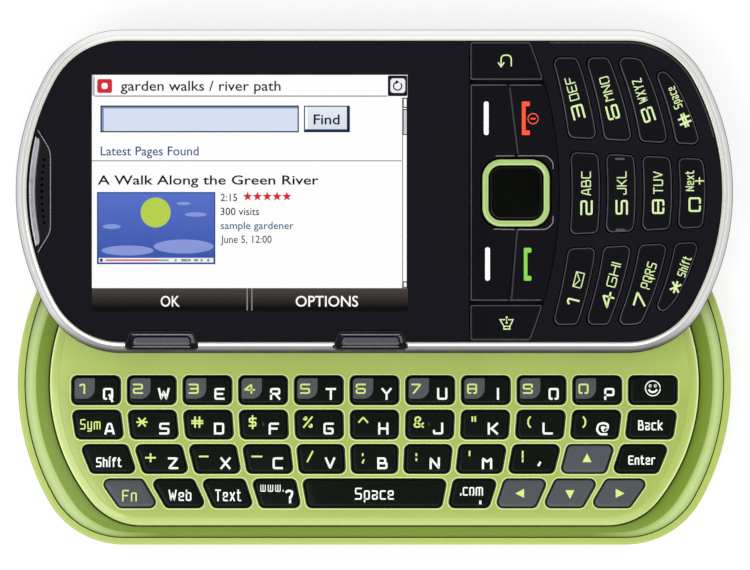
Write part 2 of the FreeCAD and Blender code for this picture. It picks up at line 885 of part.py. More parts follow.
window_seam_x = half_length - nav_edge_margin - cluster_width
active_x0 = -half_length + active_end_margin
active_x1 = window_seam_x - active_seam_margin
active_half_width = half_width - active_side_margin
lcd_x0 = active_x0 - border_end
lcd_x1 = active_x1 + border_key_side
lcd_y0 = active_offset_y - active_half_width - border_side
lcd_y1 = active_offset_y + active_half_width + border_side
receiver_x0 = -half_length + receiver_end_margin
key_bay_x = window_seam_x - key_bay_lap
edge_key_x = (active_x0 + edge_key_left_inset, active_x1 - edge_key_right_inset)
rocker_top = half_width - rocker_top_margin
rocker_bottom = -half_width + rocker_bottom_margin
ring_size = cluster_width - 2 * ring_margin
ring_x = window_seam_x + cluster_width / 2 + ring_offset_x
crease_x = ring_x + crease_top_offset
crease_mid_x = ring_x + crease_mid_offset
crease_mid_y = ring_size / 2 + crease_corner_margin


def slider_screw_places():
    end_x = -half_length + slider_screw_end_margin
    end_y = slider_screw_end_y
    seam_x = window_seam_x - slider_screw_seam_margin
    seam_y = half_width - slider_screw_seam_side
    return [(end_x, -end_y), (end_x, end_y), (seam_x, -seam_y), (seam_x, seam_y)]


def upper_plan(inset, bottom, top):
    return plan_prism(HALF_PLAN, inset, bottom, top)


def right_of(x, shape):
    box = shape.BoundBox
    return shape.common(block(x, half_length, -half_width, half_width, box.ZMin, box.ZMax))


def edge_frame_corners(x, grow):
    """The dark frame of an edge soft key: wider at the outer side."""
    outer = edge_frame_length / 2 + grow
    inner = edge_frame_length / 2 - edge_frame_taper + grow
    y_out = -half_width + edge_frame_outer - grow
    y_in = -half_width + edge_frame_inner + grow
    return [(x - outer, y_out), (x + outer, y_out), (x + inner, y_in), (x - inner, y_in)]


def edge_key_outline(x, grow, bottom, top):
    y = -half_width + (edge_frame_inner + edge_frame_outer) / 2
    half_l = edge_key_length / 2 + grow
    half_w = edge_key_width / 2 + grow
    return rounded_block(x - half_l, x + half_l, y - half_w, y + half_w, bottom, top, half_w * 0.9)


def chrome_rim():
    body = upper_plan(0, back_cover_top, rim_top)
    body = soft_top(body, rim_top, rim_round)
    body = body.cut(upper_plan(rim_width, back_cover_top - past, rim_top + past))
    notches = []
    for x in edge_key_x:
        corners = edge_frame_corners(x, seat_gap)
        low = face_top - edge_frame_depth - seat_gap
        notches.append(polygon_prism(corners, low, rim_top + past, edge_frame_corner))
    return single(body.cut(notches))


def slider_back_cover():
    body = upper_plan(0, upper_bottom, back_cover_top)
    body = rounded(body, back_cover_round, edges_at(body, upper_bottom))
    low = upper_bottom - past
    high = back_cover_top + past
    half_l = rail_half_length - rail_ledge
    half_w = rail_half_width - rail_ledge / 2
    cuts = [rounded_block(-half_l, half_l, -half_w, half_w, low, high, rail_window_corner)]
    half_l = rail_half_length + seat_gap
    half_w = rail_half_width + seat_gap
    cuts.append(rounded_block(-half_l, half_l, -half_w, half_w, rail_bottom, high, rail_corner))
    return single(body.cut(cuts))


def keypad_board():
    body = upper_plan(board_inset, keypad_board_bottom, keypad_board_top)
    low = keypad_board_bottom - past
    high = keypad_board_top + past
    holes = [disc(x, y, screw_radius + seat_gap, low, high) for x, y in slider_screw_places()]
    return single(body.cut(holes))


def display_panel():
    return block(lcd_x0, lcd_x1, lcd_y0, lcd_y1, cover_bottom, cover_bottom + display_thickness)


def earpiece_receiver():
    half = receiver_width / 2
    receiver_top = cover_bottom + display_thickness
    x1 = receiver_x0 + receiver_length
    return rounded_block(receiver_x0, x1, -half, half, cover_bottom, receiver_top, receiver_corner)


def recess_prism(margin, bottom, top):
    """The earpiece recess: open to the rim, with slanted tips."""
    deep = -half_length + recess_depth - margin
    tip = -half_length + recess_tip_depth - margin
    outside = -half_length - past
    points = [(outside, recess_half_width - margin), (outside, -recess_half_width + margin)]
    points += [(tip, -recess_half_width + margin), (deep, -recess_flat + margin)]
    points += [(deep, recess_flat - margin), (tip, recess_half_width - margin)]
    return polygon_prism(points, bottom, top)


def earpiece_grille():
    top = face_top - grille_drop
    plate = recess_prism(seat_gap, top - grille_thickness, top)
    plate = plate.common(upper_plan(rim_width + 2 * seat_gap, top - grille_thickness, top))
    radius = end_radius - grille_hole_margin
    holes = []
    for index in range(grille_holes):
        y = (index - (grille_holes - 1) / 2) * grille_hole_pitch
        x = -(half_length - end_radius) - math.sqrt(radius ** 2 - y ** 2)
        holes.append(disc(x, y, grille_hole_radius, top - grille_thickness - past, top + past))
    return single(plate.cut(holes))


def display_window():
    body = upper_plan(rim_width + seat_gap, window_bottom, face_top)
    seam = window_seam_x - seat_gap
    body = body.common(block(-half_length, seam, -half_width, half_width, window_bottom, face_top))
    low = window_bottom - past
    high = face_top + past
    cuts = [recess_prism(0, low, high)]
    for x in edge_key_x:
        cuts.append(polygon_prism(edge_frame_corners(x, seat_gap), low, high, edge_frame_corner))
    return single(body.cut(cuts))


def column_cylinder(x, radius, change, bottom, top):
    """Everything left of a number column's edge, which crosses the middle line at x."""
    return disc(x - radius, 0, radius + change, bottom, top)


def nav_edge_cylinder(change, bottom, top):
    x = half_length - nav_edge_margin - nav_edge_radius
    return disc(x, 0, nav_edge_radius + change, bottom, top)


def row_band(row, shrink, bottom, top):
    """The strip of one number row: 0 at the top, 2 at the bottom."""
    near = window_seam_x
    far = half_length
    limits = []
    for x in (near, far):
        middle = row_line_y - row_line_slope * (x - half_length + row_line_margin)
        edges = (half_width, middle + row_line_offset, -middle + row_line_offset, -half_width)
        limits.append((edges[row] - shrink, edges[row + 1] + shrink))
    points = [(near, limits[0][0]), (near, limits[0][1]), (far, limits[1][1]), (far, limits[1][0])]
    return polygon_prism(points, bottom, top)


def number_key_prism(column, row, grow, bottom, top):
    """A number key's outline, or its opening when it grows, as an upright prism."""
    inner_radius, outer_radius = column_radii[column]
    width = (nav_edge_margin - number_end_margin - sum(column_gaps)) / len(column_gaps)
    x0 = half_length - nav_edge_margin + sum(column_gaps[:column + 1]) + column * width
    key = column_cylinder(x0 + width, outer_radius, grow, bottom, top)
    key = key.cut(column_cylinder(x0, inner_radius, -grow, bottom - past, top + past))
    key = key.common(row_band(row, row_gap / 2 - grow, bottom, top))
    key = single(key.common(upper_plan(field_inset - grow, bottom, top)))
    return rounded(key, number_key_corner + grow, sharp_upright_edges(key))


def number_key(column, row):
    top = face_top + number_key_stand
    return soft_top(number_key_prism(column, row, 0, cap_bottom, top), top, number_key_round)


def number_keys():
    names = ("key_3", "key_2", "key_1", "key_6", "key_5", "key_4")
    names += ("key_9", "key_8", "key_7", "key_hash", "key_0", "key_star")
    return {name: number_key(index // 3, index % 3) for index, name in enumerate(names)}


def cluster_band(y_low, y_high, bottom, top):
    """Part of the navigation cluster between two heights on the face."""
    x0 = window_seam_x + seat_gap
    body = block(x0, half_length, y_low, y_high, bottom, top)
    return body.common(nav_edge_cylinder(-key_gap, bottom, top))


def ring_block(grow, bottom, top):
    size = ring_size + 2 * grow
    x0 = ring_x - size / 2
    y0 = ring_y - size / 2
    return rounded_block(x0, x0 + size, y0, y0 + size, bottom, top, ring_corner + grow)


def crease_half(side, bottom, top):
    """Everything on one side of the crease between the two rockers."""
    gap = crease_gap / 2 * side
    near = crease_x + gap
    middle = crease_mid_x + gap
    far = crease_mid_x + side * half_width
    high = rocker_top + past
    low = rocker_bottom - past
    points = [(far, high), (near, high), (middle, crease_mid_y)]
    points += [(middle, -crease_mid_y), (near, low), (far, low)]
    return polygon_prism(points, bottom, top)


def rocker(side):
    body = cluster_band(rocker_bottom, rocker_top, cap_bottom, face_top)
    body = body.common(crease_half(side, cap_bottom, face_top))
    return single(body.cut(ring_block(ring_gap, cap_bottom - past, face_top + past)))


def back_key():
    outer = half_width - rim_width - cluster_inset
    body = single(cluster_band(rocker_top + cluster_gap, outer, cap_bottom, face_top))
    return soft_top(body, face_top, cap_round)


def speaker_key():
    outer = -half_width + rim_width + cluster_inset
    body = single(cluster_band(outer, rocker_bottom - cluster_gap, cap_bottom, face_top))
    return soft_top(body, face_top, cap_round)


def nav_ring():
    top = face_top + ring_stand
    body = ring_block(0, cap_bottom, top)
    body = soft_top(body, top, ring_round)
    return single(body.cut(ring_block(-ring_width, cap_bottom - past, top + past)))


def nav_collar():
    top = cap_bottom - rest_gap
    outer = -collar_setback
    body = ring_block(outer, top - collar_thickness, top)
    return single(body.cut(ring_block(outer - collar_width, top - collar_thickness - past, top + past)))


def ok_key():
    top = face_top + ok_stand
    return soft_top(ring_block(-ring_width - key_gap, cap_bottom, top), top, ok_round)


def pad_places():
    """Centre of every key that the rubber mat pushes back."""
    places = []
    for key in number_keys().values():
        centre = key.CenterOfMass
        places.append((centre.x, centre.y))
    cluster_x = (window_seam_x + half_length - nav_edge_margin) / 2
    outer_y = half_width - bay_inset - pad_radius - rest_gap
    places.append((cluster_x, outer_y))
    places.append((cluster_x, -outer_y))
    for y in (rocker_top - rocker_pad_inset, rocker_bottom + rocker_pad_inset):
        places.append((window_seam_x + rocker_pad_left, y))
        places.append((crease_mid_x + rocker_pad_right, y))
    places.append((ring_x, ring_y))
    return places


def keypad_mat():
    sheet = upper_plan(bay_inset + 2 * seat_gap, keypad_board_top, mat_base_top)
    sheet = right_of(key_bay_x + seat_gap, sheet)
    pads = [disc(x, y, pad_radius, mat_base_top - weld, pad_top) for x, y in pad_places()]
    collar_seat_top = cap_bottom - rest_gap - collar_thickness - rest_gap
    seat = ring_block(-collar_setback, mat_base_top - weld, collar_seat_top)
    seat = seat.cut(ring_block(-collar_setback - collar_width, mat_base_top - past, collar_seat_top + past))
    return single(sheet.fuse(pads + [seat]))


def edge_key(x):
    top = face_top + edge_key_stand
    return soft_top(edge_key_outline(x, 0, top - edge_key_depth, top), top, edge_key_round)


def front_cover():
    outer = rim_width + seat_gap
    body = upper_plan(outer, cover_bottom, face_top)
    skirt = upper_plan(outer, back_cover_top, cover_bottom)
    skirt = skirt.cut(upper_plan(outer + skirt_wall, back_cover_top - past, cover_bottom + past))
    body = body.fuse(skirt)
    body = body.cut(block(-half_length, window_seam_x, -half_width, half_width, window_bottom, rim_top))
    frame_low = face_top - edge_frame_depth
    for x in edge_key_x:
        body = body.fuse(polygon_prism(edge_frame_corners(x, 0), frame_low, face_top, edge_frame_corner))
    low = cover_bottom - past
    gap = seat_gap
    cuts = [block(lcd_x0 - gap, lcd_x1 + gap, lcd_y0 - gap, lcd_y1 + gap, low, window_bottom)]
    half = receiver_width / 2 + gap
    receiver_x1 = receiver_x0 + receiver_length + gap
    cuts.append(block(receiver_x0 - gap, receiver_x1, -half, half, low, window_bottom + past))
    cuts.append(right_of(key_bay_x, upper_plan(bay_inset, low, pad_top)))
    cluster_block = block(window_seam_x, half_length, -half_width, half_width, pad_top, rim_top)
    cluster = cluster_band(-half_width, half_width, pad_top, rim_top)
    cluster = cluster.common(upper_plan(outer, pad_top, rim_top))
    cuts.append(cluster)
    cuts.append(block(window_seam_x - gap, window_seam_x + past, -half_width, half_width, pad_top, rim_top))
    cuts.append(nav_edge_cylinder(0, pad_top, rim_top).common(cluster_block))
    for column in range(len(column_gaps)):
        for row in range(3):
            cuts.append(number_key_prism(column, row, key_gap, pad_top - past, rim_top))
    key_low = face_top + edge_key_stand - edge_key_depth - pad_gap
    for x in edge_key_x:
        cuts.append(edge_key_outline(x, key_gap, key_low, rim_top))
    for x, y in slider_screw_places():
        cuts.append(disc(x, y, screw_radius + contact_gap, low, keypad_board_top + slider_screw_bite + gap))
    return single(body.cut(cuts))


def slider_screws():
    length = screw_head_height + keypad_board_thickness + slider_screw_bite
    bottom = keypad_board_bottom - screw_head_height
    return Part.makeCompound([screw(x, y, bottom, length) for x, y in slider_screw_places()])


def flex_cable():
    x0 = flex_x - flex_width / 2
    x1 = flex_x + flex_width / 2
    low = upper_bottom
    high = keypad_board_bottom - flex_thickness
    fold = -flex_slot / 4
    lower = block(x0, x1, -flex_lower_reach, fold, low, low + flex_thickness)
    riser = block(x0, x1, fold - flex_thickness, fold, low, high + flex_thickness)
    upper = block(x0, x1, fold - flex_thickness, flex_upper_reach, high, high + flex_thickness)
    return single(lower.fuse([riser, upper]))


# ---- Export ----------------------------------------------------------------------------

lower_nodes = {
    "rear_housing": rear_housing(),
    "battery_cover": battery_cover(),
    "battery": battery(),
    "deck_surround": deck_surround(),
    "keyboard_deck": keyboard_deck(),
    "main_board": main_board(),
    "keyboard_dome_sheet": keyboard_dome_sheet(),
    "keyboard_mat": keyboard_mat(),
    "slide_base_plate": slide_base_plate(),
    "slide_spring": slide_spring(),
    "camera_module": camera_module(),
    "camera_window": camera_window(),
    "loudspeaker": loudspeaker(),
    "vibration_motor": vibration_motor(),
    "antenna": antenna(),
    "headset_jack": headset_jack(),
    "charging_port": charging_port(),
    "memory_card_door": memory_card_door(),
    "housing_screws": housing_screws(),
    "camera_key": side_key(camera_key_x, camera_key_length, camera_flange_gap),
    "volume_rocker": side_key(volume_x, volume_length, volume_flange_gap),
}
for group_name, group_keys in keyboard_groups().items():
    lower_nodes[group_name] = key_group(group_keys)

upper_nodes = {
    "chrome_rim": chrome_rim(),
    "front_cover": front_cover(),
    "display_window": display_window(),
    "display_panel": display_panel(),
    "slider_back_cover": slider_back_cover(),
    "slide_rail_plate": slide_rail_plate(),
    "earpiece_grille": earpiece_grille(),
    "earpiece_receiver": earpiece_receiver(),
    "keypad_board": keypad_board(),
    "keypad_mat": keypad_mat(),
    "flex_cable": flex_cable(),
    "slider_screws": slider_screws(),
    "back_key": back_key(),
    "speaker_key": speaker_key(),
    "softkey_rocker": rocker(-1),
    "call_rocker": rocker(1),
    "nav_ring": nav_ring(),
    "nav_collar": nav_collar(),
    "ok_key": ok_key(),
    "edge_key_left": edge_key(edge_key_x[0]),
    "edge_key_right": edge_key(edge_key_x[1]),
}
upper_nodes.update(number_keys())

os.makedirs("parts", exist_ok=True)
for node_name, node_shape in lower_nodes.items():
    node_shape.exportStep("parts/" + node_name + ".step")
for node_name, node_shape in upper_nodes.items():
    node_shape.translated(V(0, slide_travel, 0)).exportStep("parts/" + node_name + ".step")
print(len(lower_nodes) + len(upper_nodes), "nodes written")
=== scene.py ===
import math
import bpy
import numpy as np
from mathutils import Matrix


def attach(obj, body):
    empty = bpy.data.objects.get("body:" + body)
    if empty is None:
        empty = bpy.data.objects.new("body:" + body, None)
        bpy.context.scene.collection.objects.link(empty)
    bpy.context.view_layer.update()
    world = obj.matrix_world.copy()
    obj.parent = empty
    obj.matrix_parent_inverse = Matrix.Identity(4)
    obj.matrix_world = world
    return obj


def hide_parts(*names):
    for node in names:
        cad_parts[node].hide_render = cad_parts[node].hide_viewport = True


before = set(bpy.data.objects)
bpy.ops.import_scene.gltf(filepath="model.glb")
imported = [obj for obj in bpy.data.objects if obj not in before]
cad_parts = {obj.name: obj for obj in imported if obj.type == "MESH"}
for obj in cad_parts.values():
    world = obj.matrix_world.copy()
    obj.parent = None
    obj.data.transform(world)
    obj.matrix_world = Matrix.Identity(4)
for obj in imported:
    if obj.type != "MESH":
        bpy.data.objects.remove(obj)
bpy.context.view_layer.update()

# A side-sliding phone on its back, the screen half slid up to show the keyboard. Sizes are in
# millimetres in the row frame. Lights, camera, noise scales and the limits that a material
# reads from Object coordinates are in metres, as the meshes are.


# ---- Camera, soft light and table ---------------------------------------------------------
# A pale table seen from straight above under a large soft dome: bright around, dim overhead,
# so that flat gloss stays black and the plated rim picks up white and grey bands, over the
# painted reflection bands in its own colour.

scene = bpy.context.scene
scene.view_settings.view_transform = "Standard"

camera_height = 1.15
camera_lens = bpy.data.cameras.new("camera")
camera_lens.sensor_width = 36
camera_lens.lens = 355.7
camera = bpy.data.objects.new("camera", camera_lens)
camera.location = (0.0001, 0.01525, camera_height)
scene.collection.objects.link(camera)
scene.camera = camera


def tint(code):
    """A #rrggbb colour as the linear red, green and blue that a shader takes."""
    level = np.array([int(code[i:i + 2], 16) for i in (1, 3, 5)]) / 255
    return tuple(np.where(level <= 0.04045, level / 12.92, ((level + 0.055) / 1.055) ** 2.4))


def painter(owner):
    """Empties a node graph and gives back the call that adds to it. The call makes one node,
    sets its properties, fills its inputs, by place or by name, with values, #rrggbb colours or
    other nodes' outputs, and gives back one of its outputs. Stops are a ramp's places, each
    with a grey level or a colour."""
    owner.use_nodes = True
    graph = owner.node_tree
    graph.nodes.clear()

    def node(kind, *inputs, out=0, stops=(), **named):
        made = graph.nodes.new("ShaderNode" + kind)
        for key, value in (*enumerate(inputs), *named.items()):
            if isinstance(key, str) and hasattr(made, key):
                setattr(made, key, value)
                continue
            socket = made.inputs[key.replace("_", " ") if isinstance(key, str) else key]
            if isinstance(value, bpy.types.NodeSocket):
                graph.links.new(value, socket)
            else:
                socket.default_value = (*tint(value), 1) if isinstance(value, str) else value
        if stops:
            elements = made.color_ramp.elements
            while len(elements) < len(stops):
                elements.new(0.5)
            for element, (place, shade) in zip(elements, stops):
                shade = tint(shade) if isinstance(shade, str) else shade
                element.position = place
                element.color = (*shade, 1) if isinstance(shade, tuple) else (shade, shade, shade, 1)
        return made.outputs[out] if len(made.outputs) else None

    return node


dome = bpy.data.worlds.new("soft_dome")
scene.world = dome
node = painter(dome)
sky_height = node("SeparateXYZ", node("TexCoord", out="Generated"), out="Z")
sky_level = node("ValToRGB", sky_height, stops=[
    (0.0, 0.50), (0.30, 0.58), (0.55, 0.70), (0.80, 0.92),
    (0.88, 0.90), (0.94, 0.42), (0.985, 0.13), (1.0, 0.12)])
node("OutputWorld", node("Background", sky_level, 1.25))

lamps = {"window_lamp": (2.0, 0.4, (-0.36, -0.22, 0.88), (14.0, -21.0, 0.0)),
         "fill_lamp": (1.8, 0.6, (0.0, -0.5, 0.75), (34.0, 0.0, 0.0))}
for name, (watts, size, place, tilt) in lamps.items():
    light = bpy.data.lights.new(name, "AREA")
    light.energy, light.size = watts, size
    lamp = bpy.data.objects.new(name, light)
    lamp.location = place
    lamp.rotation_euler = [math.radians(turn) for turn in tilt]
    scene.collection.objects.link(lamp)

table_mesh = bpy.data.meshes.new("table")
table_mesh.from_pydata([(-2, -2, 0), (2, -2, 0), (2, 2, 0), (-2, 2, 0)], [], [(0, 1, 2, 3)])
table = bpy.data.objects.new("table", table_mesh)
scene.collection.objects.link(table)
table_paint = bpy.data.materials.new("table_paint")
node = painter(table_paint)
ray = node("LightPath").node.outputs
seen = node("Math", ray["Is Camera Ray"], ray["Is Glossy Ray"], operation="MAXIMUM")
seen = node("Math", seen, ray["Is Transmission Ray"], operation="MAXIMUM")
white = node("AddShader", node("BsdfDiffuse", (0.34, 0.34, 0.34, 1)), node("Emission", (1, 1, 1, 1), 0.72))
node("OutputMaterial", node("MixShader", seen, node("BsdfDiffuse", (0.82, 0.82, 0.82, 1)), white))
table_mesh.materials.append(table_paint)


# ---- Rear housing -------------------------------------------------------------------------
# The moulded green tray that carries the keyboard half, lacquered, with a thin rounded lip.
# Its battery cover is the same plastic and lifts off without a hinge.

MM = 0.001                       # metres in a millimetre


def finish(name, colour, rough, metal=0.0, cloud=0.04, grain=0.3, bump=0.0, fleck=0.0, coat=0.0,
           shine=0.5, painted_light_y=None):
    """A moulded, plated or printed finish. Colour clouds and grain are noise on Object coordinates.

    cloud: how far the colour drifts; grain: size of the fine noise in mm; bump: its depth in mm;
    fleck: how strongly single grains stand out, as in metallic lacquer; painted_light_y: two places
    along Y in metres and how bright the colour is painted at each, as painted light and shade."""
    material = bpy.data.materials.new(name)
    node = painter(material)
    place = node("TexCoord", out="Object")
    drift = node("TexNoise", Vector=place, Scale=90.0, Detail=2.0)
    fine = node("TexNoise", Vector=place, Scale=1000.0 / grain, Detail=3.0)
    deep, pale = (tuple(np.clip(np.array(tint(colour)) * share, 0, 1)) for share in (1 - cloud, 1 + cloud))
    shade = node("ValToRGB", drift, stops=[(0.3, deep), (0.7, pale)])
    spots = node("ValToRGB", fine, stops=[(0.35, 1 - fleck), (0.75, 1.0)])
    blend = node("MixRGB", 1.0, shade, spots, blend_type="MULTIPLY")
    if painted_light_y:
        light = node("MapRange", node("SeparateXYZ", place, out="Y"), *painted_light_y)
        blend = node("MixRGB", 1.0, blend, light, blend_type="MULTIPLY")
    gloss = node("MapRange", fine, 0.3, 0.7, rough * 0.85, min(1.0, rough * 1.15))
    relief = node("Bump", Height=fine, Strength=0.5, Distance=max(bump, 0.0005) * MM)
    node("OutputMaterial", node("BsdfPrincipled", blend, Roughness=gloss, Normal=relief, Metallic=metal,
                                Coat_Weight=coat, Coat_Roughness=0.05, Specular_IOR_Level=shine))
    return material


def new_piece(name, points, faces, material, body, stands_for=(), slot=None, sharp=32):
    """A mesh piece in mm on a body. Faces shade smooth, except over edges sharper than the angle."""
    mesh = bpy.data.meshes.new(name)
    mesh.from_pydata((np.asarray(points, float) * MM).tolist(), [], faces)
    mesh.shade_smooth()
    mesh.set_sharp_from_angle(angle=math.radians(sharp))
    mesh.materials.append(material)
    piece = bpy.data.objects.new(name, mesh)
    scene.collection.objects.link(piece)
    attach(piece, body)
    if stands_for:
        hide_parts(*stands_for)
    return piece


def smooth_solid(name, part, material, body, slot, sharp=32):
    """The part's own surface with the loose triangles merged, so that its curves shade smooth."""
    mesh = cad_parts[part].data
    points = np.empty(len(mesh.vertices) * 3)
    mesh.vertices.foreach_get("co", points)
    corners = np.empty(len(mesh.loops), dtype=np.int64)
    mesh.loops.foreach_get("vertex_index", corners)
    places, merged = np.unique(np.round(points.reshape(-1, 3), 7), axis=0, return_inverse=True)
    faces = merged.reshape(-1)[corners].reshape(-1, 3)
    whole = (faces[:, 0] != faces[:, 1]) & (faces[:, 1] != faces[:, 2]) & (faces[:, 2] != faces[:, 0])
    return new_piece(name, places / MM, faces[whole].tolist(), material, body, (part,), slot, sharp)


green_lacquer = finish("green_lacquer", "#adc15f", 0.30, cloud=0.02, grain=0.12, fleck=0.05, coat=0.3)
smooth_solid("rear_shell", "rear_housing", green_lacquer, "lower_half", "green_shell")
smooth_solid("rear_battery_cover", "battery_cover", green_lacquer, "lower_half", "green_shell")


# ---- Inside the rear housing --------------------------------------------------------------
# Battery in its label wrap, main board, dome sheet, rubber key mat and the small modules
# that stand on the housing floor. They are seen only where the phone is opened.

def dress(material, *nodes):
    """Give solid parts their finish."""
    for name in nodes:
        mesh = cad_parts[name].data
        mesh.materials.clear()
        mesh.materials.append(material)


battery_label = finish("battery_label", "#5a6068", 0.6, cloud=0.08, grain=0.2, bump=0.01)
solder_mask = finish("solder_mask", "#1d4a2c", 0.45, cloud=0.12, grain=0.5, bump=0.01)
key_rubber = finish("key_rubber", "#2a2a2c", 0.75, cloud=0.06, grain=0.15, bump=0.01)
dome_film = finish("dome_film", "#a0845a", 0.4, cloud=0.08, grain=0.3, bump=0.005)
sheet_steel = finish("sheet_steel", "#b4b6ba", 0.28, metal=1.0, cloud=0.05, grain=0.1, bump=0.003)
copper_foil = finish("copper_foil", "#c08a58", 0.35, metal=1.0, cloud=0.06, grain=0.2, bump=0.004)
black_moulding = finish("black_moulding", "#17181a", 0.45, cloud=0.05, grain=0.12, bump=0.004)
lens_glass = finish("lens_glass", "#0a0b10", 0.06, cloud=0.1, grain=1.0, coat=1.0)
dress(battery_label, "battery")
dress(solder_mask, "main_board", "keypad_board")
dress(dome_film, "keyboard_dome_sheet", "flex_cable")
dress(key_rubber, "keyboard_mat", "keypad_mat")
dress(black_moulding, "loudspeaker", "camera_module", "headset_jack", "earpiece_receiver")
dress(copper_foil, "antenna")
dress(sheet_steel, "vibration_motor", "charging_port", "housing_screws", "slider_screws")
smooth_solid("rear_camera_window", "camera_window", lens_glass, "lower_half", "lens")


# ---- Sloped channel round the keyboard ----------------------------------------------------
# One moulded ring pressed into the housing lip. It falls from the lip, then rises to the keyboard
# deck. Its colour is a darker green on the inner band, darkening towards the deck, and dark at
# both seams as painted shade; at the two ends the outer band is pale as a painted reflection.

HALF = (55.0, 24.8, 37.0, 13.3)      # half length, half width, end radius, corner radius
DECK = (50.0, 21.8, 29.0, 10.0)


def outline_of(plan, inset, steps=(26, 18, 16)):
    """The closed plan outline, anticlockwise from the right end. An end arc about a point on the
    middle line runs into a tangent corner arc, then a straight side; moving the outline in by
    inset takes it off both radii and keeps the arc centres."""
    length, width, end_r, corner_r = plan
    rise = width - corner_r
    run = math.sqrt((end_r - corner_r) ** 2 - rise ** 2)
    end_x = length - end_r
    meet = math.atan2(rise, run)
    a = np.linspace(0, meet, steps[0], endpoint=False)
    b = np.linspace(meet, math.pi / 2, steps[1], endpoint=False)
    end_arc = np.stack([end_x + (end_r - inset) * np.cos(a), (end_r - inset) * np.sin(a)], 1)
    corner_x = end_x + run + (corner_r - inset) * np.cos(b)
    corner = np.stack([corner_x, rise + (corner_r - inset) * np.sin(b)], 1)
    side_x = np.linspace(end_x + run, -end_x - run, steps[2])
    side = np.stack([side_x, np.full(steps[2], width - inset)], 1)
    back = np.concatenate([end_arc, corner])[:0:-1] * [-1, 1]
    half = np.concatenate([end_arc, corner, side, back])
    return np.concatenate([half, -half])


def at_height(outline, z):
    return np.column_stack([outline, np.full(len(outline), z)])


def skin(rings, ring_closed=False):
    """Points and faces of a surface through rings of equally many points. Ring i joins ring i+1
    with four-sided faces; a closed profile joins the last ring to the first, an open one ends
    in a flat face at each end. Rings run anticlockwise and climb, so the faces look outward."""
    rings = np.asarray(rings)
    levels, count = rings.shape[:2]
    spans = levels if ring_closed else levels - 1
    i, j = np.meshgrid(np.arange(spans), np.arange(count), indexing="ij")
    up = (i + 1) % levels
    on = (j + 1) % count
    quads = np.stack([i * count + j, i * count + on, up * count + on, up * count + j], -1)
    faces = quads.reshape(-1, 4).tolist()
    if not ring_closed:
        faces.append(list(range(count))[::-1])
        faces.append(list(range((levels - 1) * count, levels * count)))
    return rings.reshape(-1, 3), faces


def store(piece, name, shares):
    """Keep one number for each point of a piece, for its material to read by name."""
    piece.data.attributes.new(name, "FLOAT", "POINT").data.foreach_set("value", shares)


housing_lip, deck_gap = 1.15, 0.15
channel_outer = outline_of(HALF, housing_lip)
channel_inner = outline_of(DECK, -deck_gap)
channel_fall = [(0.0, 6.2), (0.0, 6.86), (0.015, 6.93), (0.05, 6.95), (0.30, 6.93), (0.42, 6.95),
                (0.46, 7.00), (0.50, 7.06), (0.75, 7.22), (0.93, 7.33), (0.97, 7.35), (1.0, 7.33),
                (1.0, 6.2)]
channel_rings = [at_height(channel_outer * (1 - s) + channel_inner * s, z) for s, z in channel_fall]

channel_green = bpy.data.materials.new("channel_green")
node = painter(channel_green)
place = node("TexCoord", out="Object")
grain = node("TexNoise", Vector=place, Scale=6000.0, Detail=3.0)
across = node("Attribute", out="Fac", attribute_name="across")
ragged = node("Math", grain, 0.01, across, operation="MULTIPLY_ADD")
# Painted reflection: the pale outer band at the two ends. Painted shade: dark at both seams.
ends_painted_reflection = node("ValToRGB", ragged, stops=[
    (0.0, "#3c4f21"), (0.03, "#b0c47f"), (0.25, "#bdd18f"), (0.42, "#a8bf6e"),
    (0.48, "#758e2b"), (0.80, "#6c8624"), (0.95, "#5e781d"), (1.0, "#2a3914")])
# In the middle a darker green with no pale band, and painted shade dark at both seams.
clear = node("ValToRGB", ragged, stops=[
    (0.0, "#3b4d1e"), (0.03, "#809a36"), (0.3, "#7a9331"),
    (0.6, "#728d2a"), (0.92, "#648222"), (1.0, "#293812")])
reach = node("Math", node("SeparateXYZ", place, out="X"), operation="ABSOLUTE")
colour = node("MixRGB", node("MapRange", reach, 0.033, 0.046), clear, ends_painted_reflection)
node("OutputMaterial", node("BsdfPrincipled", colour, Roughness=0.28, Specular_IOR_Level=0.2))

channel = new_piece("channel_ring", *skin(channel_rings, ring_closed=True), channel_green, "lower_half",
                    ("deck_surround",), "green_channel")
store(channel, "across", np.repeat([s for s, z in channel_fall], len(channel_outer)))


# ---- Keyboard deck ------------------------------------------------------------------------
# The green lacquered plate with one opening for every key. Its colour is painted lighter towards
# the screen half, where that half's shade falls on the deck, and darker from the first row of keys down.

# Painted light and shade: the colour is brighter towards the screen half and darker below it.
deck_lacquer = finish("deck_lacquer", "#a8bd5b", 0.34, cloud=0.03, grain=0.12, fleck=0.05, coat=0.2,
                      painted_light_y=(-0.003, 0.003, 0.92, 1.10))
smooth_solid("keyboard_plate", "keyboard_deck", deck_lacquer, "lower_half", "green_shell", sharp=25)


# ---- Deck edge ----------------------------------------------------------------------------
# The deck's rounded slope down to the channel, ending in a small bead. A painted highlight runs
# along the bead; towards the lower edge the colour is blended into an even lime, most at the bead.

slope_width = 1.45
slope_fall = [(0.0, 7.45), (0.0, 7.74), (0.05, 7.83), (0.14, 7.885), (0.30, 7.93), (0.75, 8.03),
              (1.10, 8.095), (1.30, 8.115), (1.42, 8.112), (slope_width, 8.05)]
slope_rings = np.array([at_height(outline_of(DECK, inset, (30, 24, 40)), z) for inset, z in slope_fall])
slope_lime = bpy.data.materials.new("slope_lime")
node = painter(slope_lime)
place = node("TexCoord", out="Object")
across = node("Attribute", out="Fac", attribute_name="across")
